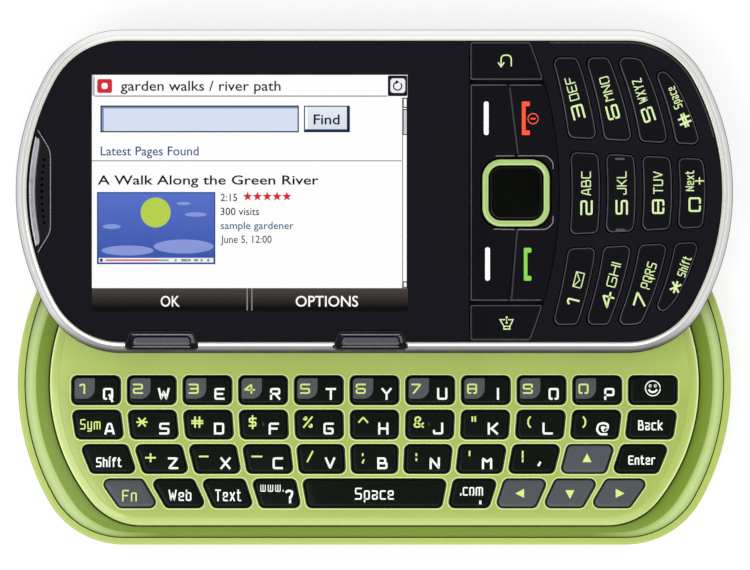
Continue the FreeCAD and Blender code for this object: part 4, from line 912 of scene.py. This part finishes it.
# ---- Lit display page ---------------------------------------------------------------------
# The page shown on the display, laid as thin lit sheets on the window: address line, search
# field and button, a link, a clip's picture with its details, a scroll bar and two soft labels.

PIXEL = 1 / 6.53                 # one page pixel in mm
PAGE_MIDDLE = (374.7, 190.8)     # the page pixel over the middle of the screen half
FACE_Z = 15.2
LAYER = 0.012                    # height of one sheet on the stack


def lit(name, colour, edge=None, shine=0.25):
    """A lit area of the page; a second colour darkens it towards the lower edge of the piece."""
    material = bpy.data.materials.new(name)
    node = painter(material)
    base = np.array(tint(colour))
    grid = node("TexNoise", Vector=node("TexCoord", out="Object"), Scale=9000.0, Detail=1.0)
    dim, full = tuple(base * 0.985), tuple(np.minimum(base * 1.01, 1.0))
    glow = node("ValToRGB", grid, stops=[(0.3, dim), (0.7, full)])
    if edge:
        glow = node("MixRGB", node("Attribute", out="Fac", attribute_name="down"), glow, edge)
    node("OutputMaterial", node("BsdfPrincipled", (0.004, 0.004, 0.005, 1), Roughness=0.12,
                                Emission_Color=glow, Emission_Strength=1.0, Specular_IOR_Level=shine))
    return material


def on_page(x, y):
    """A page pixel as a place on the row."""
    return np.array([(x - PAGE_MIDDLE[0]) * PIXEL, (PAGE_MIDDLE[1] - y) * PIXEL + SLID])


def page_box(x0, y0, x1, y1):
    """The rectangle between two page pixels, the upper left and the lower right."""
    (left, top), (right, bottom) = on_page(x0, y0), on_page(x1, y1)
    return rectangle(left, bottom, right, top)


def on_screen(name, surface, ink):
    return new_piece(name, *surface, ink, "upper_half", slot="screen")


def sheet(name, box, layer, ink, corner=0.0):
    """A thin rectangle of the page between two page pixels; layer is its place in the stack."""
    outline = page_box(*box)
    bottom, top = outline[0, 1], outline[2, 1]
    if corner:
        outline = soft_corners(outline, corner)
    piece = on_screen(name, plate(outline, FACE_Z - 0.05, FACE_Z + LAYER * layer), ink)
    store(piece, "down", np.clip((top - np.tile(outline[:, 1], 2)) / (top - bottom), 0, 1))


def hoop(outer, inner, low, high):
    """A flat strip between two closed outlines."""
    rings = [at_height(outer, low), at_height(outer, high), at_height(inner, high), at_height(inner, low)]
    return skin(rings, ring_closed=True)


def frame_sheet(name, box, line, layer, ink):
    """A rectangular line round an area of the page."""
    outer = page_box(*box)
    inner = moved_in(outer, line * PIXEL)
    on_screen(name, hoop(outer, inner, FACE_Z - 0.02, FACE_Z + LAYER * layer), ink)


def page_words(name, text, x0, x1, y_base, y_top, layer, ink, bold=0.0):
    """A line of plain words between two page pixels, its capitals from y_base up to y_top."""
    curve = bpy.data.curves.new(name + "_curve", "FONT")
    curve.body = text
    curve.offset = bold
    curve.extrude = 0.01
    curve.resolution_u = 3
    writer = bpy.data.objects.new(name + "_curve", curve)
    scene.collection.objects.link(writer)
    bpy.context.view_layer.update()
    mesh = bpy.data.meshes.new_from_object(writer.evaluated_get(bpy.context.evaluated_depsgraph_get()))
    bpy.data.objects.remove(writer)
    points = np.empty(len(mesh.vertices) * 3)
    mesh.vertices.foreach_get("co", points)
    points = points.reshape(-1, 3)
    (left, base), (right, top) = on_page(x0, y_base), on_page(x1, y_top)
    low, high = points[:, 0].min(), points[:, 0].max()
    capital = 0.729              # a capital's height in the typeface's own units
    points[:, 0] = left + (points[:, 0] - low) / (high - low) * (right - left)
    points[:, 1] = base + points[:, 1] / capital * (top - base)
    points[:, 2] = np.where(points[:, 2] > 0, FACE_Z + LAYER * layer, FACE_Z - 0.01)
    mesh.vertices.foreach_set("co", (points * MM).ravel())
    mesh.materials.clear()
    mesh.materials.append(ink)
    piece = bpy.data.objects.new(name, mesh)
    scene.collection.objects.link(piece)
    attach(piece, "upper_half")


white, grey, light = lit("page_white", "#fdfdfd"), lit("page_grey", "#8b8b8f"), lit("page_light", "#c9cbd0")
black, navy, pale = lit("page_black", "#0c0c0e"), lit("page_navy", "#0d2344"), lit("page_pale", "#eef0f4")
red, link, leaf = lit("page_red", "#d8232f"), lit("page_link", "#1f4882"), lit("page_leaf", "#b6cf4a")
field, shade = lit("page_field", "#d6def2"), lit("page_shade", "#7f90b8")
button = lit("page_button", "#e4ecf5", "#d3dce8")
sky, cloud = lit("page_sky", "#5670c8", "#3450a4"), lit("page_cloud", "#8797d6")
picture_frame = lit("page_frame", "#24488f")
bar, foot = lit("page_bar", "#49423d", "#020101", 0.05), lit("page_foot", "#030202", shine=0.04)

sheet("page_sheet", (92.3, 74.4, 407.8, 287.6), 1, white)
sheet("page_border_left", (92.3, 74.4, 94.0, 95.0), 2, light)
sheet("page_address_line", (95.0, 95.0, 388.0, 96.2), 2, grey)
sheet("page_address_side", (94.0, 76.0, 94.9, 95.5), 2, grey)
sheet("page_icon", (97.5, 78.5, 112.5, 92.5), 2, red, 0.35)
sheet("page_icon_mark", (102.0, 82.5, 108.0, 88.5), 3, white, 0.3)
page_words("page_address", "garden walks / river path", 121, 281, 90.2, 79.8, 2, black, 0.008)
sheet("reload_square", (388.2, 75.0, 407.6, 95.6), 2, black, 0.2)
sheet("reload_plate", (390.8, 77.9, 405.6, 92.4), 3, pale, 0.45)
reload_middle = on_page(398.0, 85.6)
reload_tip = reload_middle + np.array([(-0.28, 0.3), (0.3, 0.62), (-0.28, 0.94)])
reload_tip = plate(reload_tip, FACE_Z + 0.01, FACE_Z + 0.05)
reload_turn = ring_strip(*reload_middle, 0.62, 0.2, FACE_Z + 0.01, FACE_Z + 0.048, 100, 395)
on_screen("reload_arrow", gather([reload_turn, reload_tip]), black)
sheet("search_field", (101.5, 105.5, 299, 131.5), 2, field)
frame_sheet("search_field_line", (100.8, 105.0, 299.2, 131.9), 1.3, 5, navy)
sheet("search_field_shade_top", (101.5, 105.5, 299, 108.0), 3, shade)
sheet("search_field_shade_left", (101.5, 105.5, 104.2, 131.5), 4, shade)
sheet("search_button", (304.6, 105.5, 349.8, 131.5), 2, button)
frame_sheet("search_button_line", (304.3, 105.2, 350.3, 131.8), 1.1, 5, navy)
sheet("search_button_shade_low", (305.0, 128.8, 349.8, 131.5), 3, navy)
sheet("search_button_shade_right", (347.2, 105.5, 349.8, 131.5), 3, navy)
sheet("search_button_light", (305.2, 106.2, 308.0, 128.8), 4, white)
page_words("search_word", "Find", 314.0, 340.0, 123.8, 113.4, 4, black, 0.012)
page_words("recent_link", "Latest Pages Found", 101, 199, 154.9, 145.4, 2, link, 0.006)
sheet("page_rule", (92.3, 159.8, 402.0, 160.8), 2, grey)
page_words("clip_title", "A Walk Along the Green River", 98, 319, 184.0, 174.4, 2, black, 0.012)
sheet("clip_picture", (97.5, 191.7, 215.5, 263.5), 2, sky)
frame_sheet("clip_frame", (97.3, 191.5, 215.7, 263.7), 1.3, 3, picture_frame)
sheet("clip_controls", (99.2, 257.4, 213.8, 262.0), 3, pale)
sheet("clip_progress", (106.0, 259.0, 158.0, 260.4), 4, red)
sheet("clip_rest", (158.0, 259.0, 169.0, 260.4), 4, grey)
sheet("clip_play", (100.4, 258.2, 103.0, 261.2), 4, navy)
for n, wide in enumerate((2.0, 6.0, 3.0, 4.0, 2.0, 2.5)):
    start = 175.0 + 6.5 * n
    sheet("clip_control_%d" % n, (start, 258.6, start + wide, 260.9), 4, grey)
sun = circle(40) * 2.3 + on_page(156, 212)
on_screen("clip_sun", plate(sun, FACE_Z, FACE_Z + 3 * LAYER), leaf)
clouds = []
for x, y, half_wide, half_tall in ((128, 250, 26, 5), (184, 246, 30, 7), (112, 226, 9, 2.4),
                                   (196, 214, 11, 2.2), (184, 203, 7, 1.6)):
    outline = circle(40) * [half_wide * PIXEL, half_tall * PIXEL] + on_page(x, y)
    clouds.append(plate(outline, FACE_Z, FACE_Z + 0.034))
on_screen("clip_clouds", gather(clouds), cloud)
page_words("clip_time", "2:15", 221, 237.5, 200.6, 192.8, 2, black, 0.005)
star_turn = np.radians(90 + 36 * np.arange(10))
star = np.stack([np.cos(star_turn), np.sin(star_turn)], 1) * np.tile([0.78, 0.33], 5)[:, None]
stars = [plate(star + on_page(248 + 9.8 * n, 196), FACE_Z, FACE_Z + 0.026) for n in range(5)]
on_screen("clip_stars", gather(stars), red)
for name, text, x1, y_base, ink, bold in (("views", "300 visits", 259.5, 214.6, black, 0.005),
                                          ("owner", "sample gardener", 294, 228.6, link, 0.005),
                                          ("date", "June 5, 12:00", 272, 242.4, black, 0.004)):
    page_words("clip_" + name, text, 221, x1, y_base, y_base - 7.8, 2, ink, bold)
sheet("scroll_track", (402.6, 97.2, 407.8, 287.6), 2, white)
sheet("scroll_line", (402.4, 97.2, 403.4, 287.6), 3, grey)
sheet("scroll_edge", (407.0, 97.2, 408.0, 287.6), 3, black)
for part, y0, y1 in (("top", 97.2, 107.4), ("handle", 108.4, 134.5), ("foot", 280.8, 287.4)):
    frame_sheet("scroll_" + part, (403.0, y0, 408.0, y1), 1.1, 4, black)
sheet("scroll_shade", (404.4, 109.8, 406.6, 133.0), 3, light)
for part, x0, x1 in (("left", 92.3, 247.0), ("right", 253.0, 408.2), ("middle", 249.0, 251.0)):
    sheet("soft_label_bar_" + part, (x0, 287.6, x1, 307.0), 2, bar)
sheet("soft_label_foot", (92.3, 307.0, 408.2, 310.8), 2, foot)
for part, x0, x1 in (("left", 247.0, 248.2), ("right", 251.6, 252.8)):
    sheet("soft_label_split_" + part, (x0, 287.6, x1, 310.0), 3, grey)
page_words("soft_label_left", "OK", 161.0, 180.0, 306.0, 294.8, 3, white, 0.008)
page_words("soft_label_right", "OPTIONS", 296.0, 358.5, 306.0, 294.8, 3, white, 0.008)


# ---- Navigation keys ----------------------------------------------------------------------
# Back key, two rockers and speaker key flush in one column, with a raised green ring round
# the middle key. The ring tilts on a collar below it.

ring_mid = np.array([21.7, -0.25])
cluster_left, cluster_arc = 14.7, (-33.6, 61.85)     # left edge; centre x and radius of the right edge
cap_foot = 13.95


def cluster_right(y):
    return cluster_arc[0] + np.sqrt(cluster_arc[1] ** 2 - y ** 2)


def cluster_key(low, high):
    """A key over the column's whole width between two heights. A rounded rectangle of its middle
    width is drawn first and stretched sideways onto the curved right edge."""
    wide = cluster_right((low + high) / 2) - cluster_left
    box = soft_corners(rectangle(0, 0, wide, high - low), 0.35, 8)
    edges = []
    for a, b in zip(box, np.roll(box, -1, 0)):
        count = max(1, int(np.linalg.norm(b - a) / 0.6))
        edges.append(a + (b - a) * np.linspace(0, 1, count, endpoint=False)[:, None])
    across, up = np.concatenate(edges).T
    x = cluster_left + across / wide * (cluster_right(low + up) - cluster_left)
    return np.stack([x, low + up + SLID], 1)


def bevelled(outline, high, rounding):
    """A cap with a small flat step just inside its edge, so that a thin line of light runs
    round the top: wall, chamfer, step down, flat top."""
    cut, lip = rounding * 0.35, 0.07
    section = [(0.0, cap_foot), (0.0, high - rounding), (cut, high - cut), (rounding, high),
               (rounding + lip, high)]
    return skin([at_height(moved_in(outline, inset), z) for inset, z in section])


def edged_key(names, outline, key, high, rounding, inset, width):
    """A key's bevelled cap and, inset from its outline, a hair-thin bright edge of one width
    that stands just proud of the top, a painted highlight."""
    body = "press_" + key
    new_piece(names % "cap", *bevelled(outline, high, rounding), face_black, body, (key,), "black_gloss")
    edge = hoop(moved_in(outline, inset), moved_in(outline, inset + width), high - 0.035, high + 0.015)
    new_piece(names % "glint", *edge, edge_glint, body, slot="black_gloss")


face_black = finish("face_black", "#0d0c12", 0.08, cloud=0.15, grain=0.5, shine=0.32)
edge_glint = finish("edge_glint", "#73737b", 0.25, metal=0.7, cloud=0.25, grain=1.5)
for key in ("softkey", "call"):
    smooth_solid(key + "_cap", key + "_rocker", face_black, "press_%s_rocker" % key, "black_gloss")
for key, low, high in (("back", 17.05, 22.85), ("speaker", -22.85, -17.4)):
    edged_key(key + "_%s", cluster_key(low, high), key + "_key", FACE_Z, 0.22, 0.04, 0.10)
dress(black_moulding, "nav_collar")


def square_ring(half, corner):
    return soft_corners(ring_mid + half * rectangle(-1, -1, 1, 1) + [0, SLID], corner, 12)


ring_outer, ring_width = 5.15, 0.95
ring_sections = [(5.15, 2.85, cap_foot), (5.15, 2.85, 15.18), (5.11, 2.81, 15.32), (5.02, 2.72, 15.42),
                 (4.88, 2.58, 15.48), (4.68, 2.38, 15.5), (4.48, 2.18, 15.48), (4.34, 2.04, 15.42),
                 (4.25, 1.95, 15.32), (4.2, 1.9, 15.18), (4.2, 1.9, cap_foot)]
ring_rings = np.array([at_height(square_ring(half, corner), z) for half, corner, z in ring_sections])
ring_green = bpy.data.materials.new("ring_green")
node = painter(ring_green)
grain = node("TexNoise", Vector=node("TexCoord", out="Object"), Scale=6000.0, Detail=3.0)
across = node("Attribute", out="Fac", attribute_name="across")
ragged = node("Math", grain, 0.02, across, operation="MULTIPLY_ADD")
# Painted highlight on both rounded shoulders, painted shade dark at the foot of both walls.
ring_painted_light = node("ValToRGB", ragged, stops=[
    (0.0, "#5d7340"), (0.06, "#bcd88c"), (0.22, "#a6c573"), (0.72, "#9dbe68"),
    (0.86, "#c3db92"), (0.95, "#a4bd72"), (1.0, "#5d7340")])
node("OutputMaterial", node("BsdfPrincipled", ring_painted_light, Roughness=0.22, Coat_Weight=0.4, Coat_Roughness=0.05))
ring_piece = new_piece("green_ring", *skin(ring_rings, ring_closed=True), ring_green, "press_nav_ring",
                       ("nav_ring",), "green_ring")
ring_shares = [(ring_outer - half) / ring_width for half, corner, z in ring_sections]
store(ring_piece, "across", np.repeat(ring_shares, ring_rings.shape[1]))
middle_black = finish("middle_black", "#060805", 0.12, cloud=0.5, grain=0.6, shine=0.16)
new_piece("middle_cap", *cap(square_ring(4.05, 1.75), cap_foot, 15.3, 0.3), middle_black,
          "press_ok_key", ("ok_key",), "black_gloss")


# ---- Number keys --------------------------------------------------------------------------
# Twelve separate caps moulded in gloss-black plastic, in four curved columns, each with a fine
# bevelled edge. They stand on the keypad's rubber mat.

number_names = [("3", "2", "1"), ("6", "5", "4"), ("9", "8", "7"), ("hash", "0", "star")]
column_edges = 28.4 + np.cumsum([1.8, 4.3625, 1.1, 4.3625, 1.2, 4.3625, 1.15, 4.3625])
column_radii = [(70.0, 62.0), (62.0, 52.0), (52.0, 46.0), (45.0, 36.0)]
border_width, row_gap, middle_drop = 4.3, 1.05, 0.3      # row_gap: half the space between two rows


def in_border(x, y, inset):
    """Whether points lie inside the phone's outline moved in by inset: inside the corner arc in
    its own sector, elsewhere inside the end arc and the straight side."""
    length, width, end_r, corner_r = HALF
    rise, end_x = width - corner_r, length - end_r
    run = math.sqrt((end_r - corner_r) ** 2 - rise ** 2)
    across, up = x - end_x - run, np.abs(y) - rise
    turn = np.arctan2(up, across)
    corner = (turn > math.atan2(rise, run)) & (turn < math.pi / 2)
    plain = (np.abs(y) < width - inset) & (np.hypot(x - end_x, y) < end_r - inset)
    return np.where(corner, np.hypot(across, up) < corner_r - inset, plain)


def row_line(x):
    """Height of the line between two rows of keys, which slopes a little towards the end."""
    return 7.4 - 0.053 * (x - 30.0)


def in_key(column, row, x, y, inset):
    """Whether points lie inside a number key: right of its near arc, left of its far arc,
    inside the border line and between its two row lines, each moved in by inset."""
    near, far = column_edges[2 * column], column_edges[2 * column + 1]
    near_r, far_r = column_radii[column]
    gap = row_gap + inset
    upper, lower = row_line(x) - middle_drop, -row_line(x) - middle_drop
    lows = (upper + gap, lower + gap, -30.0)
    highs = (30.0, upper - gap, lower - gap)
    past_near = np.hypot(x - near + near_r, y) > near_r + inset
    before_far = np.hypot(x - far + far_r, y) < far_r - inset
    in_row = (y > lows[row]) & (y < highs[row])
    return past_near & before_far & in_row & in_border(x, y, border_width + inset)


def key_outline(column, row, radius=0.9, rays=300):
    """The rim of a number key. Rays from its middle find where the shape moved in by radius
    ends; that rim is then moved out again by radius, and arcs fill in at its corners."""
    height = (13.0, 13.0, 12.5, 10.6)[column]
    y = (height, -0.3, 0.1 - height)[row]
    arcs = np.array(column_radii[column])
    x = (column_edges[2 * column:2 * column + 2] - arcs + np.sqrt(arcs ** 2 - y ** 2)).mean()
    if column == 3 and row != 1:
        x -= 0.4
    angle = np.linspace(0, 2 * math.pi, rays, endpoint=False)
    way = np.stack([np.cos(angle), np.sin(angle)], 1)
    near, far = np.zeros(rays), np.full(rays, 14.0)
    for _ in range(30):
        half = (near + far) / 2
        held = in_key(column, row, x + way[:, 0] * half, y + way[:, 1] * half, radius)
        near, far = np.where(held, half, near), np.where(held, far, half)
    rim = np.array([x, y]) + way * near[:, None]
    along = np.roll(rim, -1, 0) - rim
    facing = np.unwrap(np.arctan2(-along[:, 0], along[:, 1]))
    before = np.roll(facing, 1)
    before[0] -= 2 * math.pi
    points = []
    for corner, a, b in zip(rim, before, facing):
        steps = max(1, int(abs(b - a) / 0.2))
        turns = np.linspace(a, b, 1 + steps)[1:] if abs(b - a) > 0.05 else [(a + b) / 2]
        points += [corner + radius * np.array([math.cos(t), math.sin(t)]) for t in turns]
    return np.array(points) + [0, SLID]


for column, names in enumerate(number_names):
    for row, name in enumerate(names):
        outline = key_outline(column, row)
        edged_key("number_%s_" + name, outline, "key_" + name, FACE_Z + 0.13, 0.2, 0.05, 0.09)


# ---- Printing on the face keys ------------------------------------------------------------
# Digits and letters run up each key; the rockers carry bars and call signs, and the outer
# keys a return arrow and a small horn. All are pad-printed.

pale_print = finish("pale_print", "#cfe6a2", 0.45, cloud=0.02, grain=0.1)
orange_print = finish("orange_print", "#ff4a24", 0.4, cloud=0.03, grain=0.1)
call_print = finish("call_print", "#7cc93c", 0.4, cloud=0.03, grain=0.1)
number_low, number_high = FACE_Z + 0.11, FACE_Z + 0.155
sign_low, sign_high = FACE_Z - 0.02, FACE_Z + 0.025


def on_number(text, x, y, height, stroke, *squeeze_and_turn, **how):
    """A digit or word printed on a number key about a page pixel."""
    return written(text, on_page(x, y), height, stroke, number_low, number_high, *squeeze_and_turn, **how)


# For each key its digit and word, each with its page pixel, the word's length and the slant.
face_numbers = {
    "3": ("3", 578.3, 111.5, "DEF", 572.3, 88.4, 24.1, 14.6),
    "6": ("6", 613.1, 111.7, "MNO", 606.9, 88.4, 25.0, 14.9),
    "9": ("9", 648.5, 114.2, "WXYZ", 640.4, 90.5, 25.0, 18.0),
    "hash": ("#", 685.0, 119.8, "Space", 675.0, 97.4, 22.8, 22.0),
    "2": ("2", 586.8, 207.2, "ABC", 586.4, 183.0, 24.3, 0),
    "5": ("5", 622.0, 206.8, "JKL", 622.0, 182.6, 23.4, 0),
    "8": ("8", 658.5, 206.2, "TUV", 658.5, 182.2, 22.5, 0),
    "0": ("0", 695.0, 204.1, "Next", 690.1, 180.4, 20.7, 0),
    "1": ("1", 573.3, 301.5, "", 0, 0, 0, -14.0),
    "4": ("4", 607.8, 299.4, "GHI", 613.9, 274.4, 25.0, -14.0),
    "7": ("7", 641.0, 299.4, "PQRS", 649.0, 275.1, 27.0, -17.0),
    "star": ("*", 675.9, 286.6, "Shift", 684.6, 266.0, 21.0, -19.0),
}
for name, (digit, digit_x, digit_y, word, word_x, word_y, run, slant) in face_numbers.items():
    turn = 90 + slant
    wide = {"1": 1.2, "*": 1.35, "#": 1.35}.get(digit, 1.62)
    printed = on_number(digit, digit_x, digit_y, 1.6, 0.29, wide, turn, round_by=0.9)
    if word:
        height = 1.15 if word in ("Space", "Shift", "Next") else 1.32
        wide = word_squeeze(word, height, run * PIXEL - 0.2, 2.4)
        printed += on_number(word, word_x, word_y, height, 0.17, wide, turn, gap=2.4)
    if name == "0":
        printed += on_number("+", 699.8, 179.4, 1.25, 0.19, 1.3)
    if name == "1":
        letter = rectangle(-1.15, -0.62, 1.15, 0.62)
        letter = np.concatenate([letter, letter[:1]])
        fold = np.array([(-1.05, 0.52), (0.0, -0.15), (1.05, 0.52)])
        for n, line in enumerate((letter, fold)):
            line = line @ spin(turn) + on_page(579.0, 279.5)
            printed.append(ribbon(line, 0.15, number_low, number_high + 0.002 * n))
    new_piece("number_legend_" + name, *gather(printed), pale_print, "press_key_" + name)


def pixel_line(points, width, lift=0.0, soft=0.0):
    """A printed stroke through page pixels. Lift raises its top; soft rounds its turns."""
    line = np.array([on_page(*point) for point in points])
    if soft:
        line = bent(line, soft * PIXEL, 6)
    return ribbon(line, width * PIXEL, sign_low, sign_high + lift)


def pixel_block(x0, y0, x1, y1, corner, lift=0.0):
    """A printed block between two page pixels with rounded corners."""
    return plate(soft_corners(page_box(x0, y0, x1, y1), corner * PIXEL), sign_low, sign_high + lift)


arrow_hook = [pixel_line([(511.6, 65.2), (511.6, 54.6), (501.4, 54.6), (501.4, 65.0)], 1.25, soft=5.2),
              pixel_line([(498.8, 62.4), (501.4, 66.2), (504.2, 62.4)], 1.2, 0.004)]
new_piece("back_sign", *gather(arrow_hook), pale_print, "press_back_key")
horn_line = [(505.0, 319.2), (500.4, 319.2), (504.3, 325.9), (504.3, 328.6),
             (510.2, 328.6), (510.2, 325.9), (513.4, 319.2), (509.0, 319.2)]
horn = [pixel_line(horn_line, 1.1), pixel_line([(504.6, 325.8), (510.0, 325.8)], 1.0, 0.003),
        pixel_line([(507.0, 317.6), (507.0, 321.8)], 0.6, 0.004)]
horn_turn = np.arange(8, 0, -1) * math.pi / 4
for y in (316.9, 322.2):
    spot = [on_page(507.0 + 1.1 * math.cos(a), y + 1.1 * math.sin(a)) for a in horn_turn]
    horn.append(plate(soft_corners(spot, 0.05), sign_low, sign_high + 0.006))
new_piece("speaker_sign", *gather(horn), pale_print, "press_speaker_key")
bars = [pixel_block(484.2, 101.0, 489.0, 134.5, 2.1), pixel_block(485.5, 246.8, 490.3, 280.2, 2.1)]
new_piece("softkey_bars", *gather(bars), white_print, "press_softkey_rocker")
end_call = [pixel_block(522.2, 101.0, 526.0, 134.5, 1.0),
            pixel_block(524.0, 101.0, 530.2, 105.7, 1.2, 0.003),
            pixel_block(524.0, 129.9, 530.2, 134.6, 1.2, 0.003),
            ring_strip(*on_page(533.4, 118.2), 5.1 * PIXEL, 1.0 * PIXEL, sign_low, sign_high + 0.004),
            pixel_block(530.8, 117.4, 536.0, 119.0, 0.7)]
new_piece("end_call_sign", *gather(end_call), orange_print, "press_call_rocker")
take_call = [pixel_block(524.2, 247.3, 527.8, 280.2, 1.0),
             pixel_block(525.5, 247.3, 531.8, 252.2, 1.6, 0.003),
             pixel_block(525.5, 275.3, 531.8, 280.2, 1.6, 0.003)]
new_piece("take_call_sign", *gather(take_call), call_print, "press_call_rocker")


# ---- Bright edges of the face keys --------------------------------------------------------
# Hair-thin lines of light along the edges of the two rockers and of the ring's pocket, a
# bright line along the face by the rim, and the two small bars that mark the middle key.

soft_edge = finish("soft_edge", "#3c3b41", 0.3, metal=0.3, cloud=0.25, grain=1.0)
bright_edge = finish("bright_edge", "#a9a9af", 0.25, metal=0.7, cloud=0.25, grain=1.0)
right_creases = [pixel_line([(510.2, 88.0), (518.2, 152.5)], 1.6),
                 pixel_line([(517.6, 229.5), (512.0, 298.0)], 1.4)]
left_edges = [pixel_line([(471.6, 85.0), (471.6, 299.5)], 0.8),
              pixel_line([(472.0, 84.6), (506.5, 84.6)], 1.0),
              pixel_line([(472.6, 299.6), (507.5, 299.6)], 1.0)]
right_ends = [pixel_line([(510.5, y), (541.0, y)], 1.0) for y in (84.6, 299.6)]
right_arcs = [pixel_line([(518.5, y), (547.0, y), (553.4, y + turn), (553.4, end)], 0.9, soft=4.5)
              for y, turn, end in ((155.3, 6.4, 168.0), (229.0, -6.4, 216.0))]
left_arcs = [pixel_line([(496.5, 155.5), (514.5, 155.3)], 0.8),
             pixel_line([(494.5, 228.6), (514.5, 229.0)], 0.8)]
for name, lines, metal, key in (("rocker_edges_right", right_creases, soft_edge, "call"),
                                ("rocker_edges_left", left_edges, edge_glint, "softkey"),
                                ("rocker_ends_right", right_ends, edge_glint, "call"),
                                ("pocket_glints_right", right_arcs, bright_edge, "call"),
                                ("pocket_glints_left", left_arcs, bright_edge, "softkey")):
    new_piece(name, *gather(lines), metal, "press_%s_rocker" % key, slot="black_gloss")
bumps = []
for x, y in (on_page(620.2, 158.4), on_page(620.8, 229.3)):
    outline = soft_corners(rectangle(x - 0.75, y - 0.16, x + 0.75, y + 0.16), 0.13)
    bumps.append(cap(outline, number_low, FACE_Z + 0.22, 0.08))
new_piece("finding_bumps", *gather(bumps), grey_gloss, "press_key_5", slot="grey_cap")
rim_run = outline_of(HALF, 2.05, (40, 28, 60))
rim_run = rim_run[(rim_run[:, 1] > 8.0) & (rim_run[:, 0] > 26.0)] + [0, SLID]
new_piece("face_edge_glint", *ribbon(rim_run, 0.09, 15.15, 15.215), edge_glint, "upper_half",
          slot="black_gloss")


# ---- Side keys and card door --------------------------------------------------------------
# Camera key and volume rocker in the far wall, and the green door over the card slot. The keys
# are chromed mouldings; the door is lacquered like the housing and swings open on a hinge.

satin_chrome = finish("satin_chrome", "#c4c5c6", 0.2, metal=1.0, cloud=0.03, grain=0.1, bump=0.002)
smooth_solid("camera_cap", "camera_key", satin_chrome, "camera_button", "chrome")
smooth_solid("volume_cap", "volume_rocker", satin_chrome, "volume_button", "chrome")
smooth_solid("card_slot_door", "memory_card_door", green_lacquer, "card_door", "green_shell")
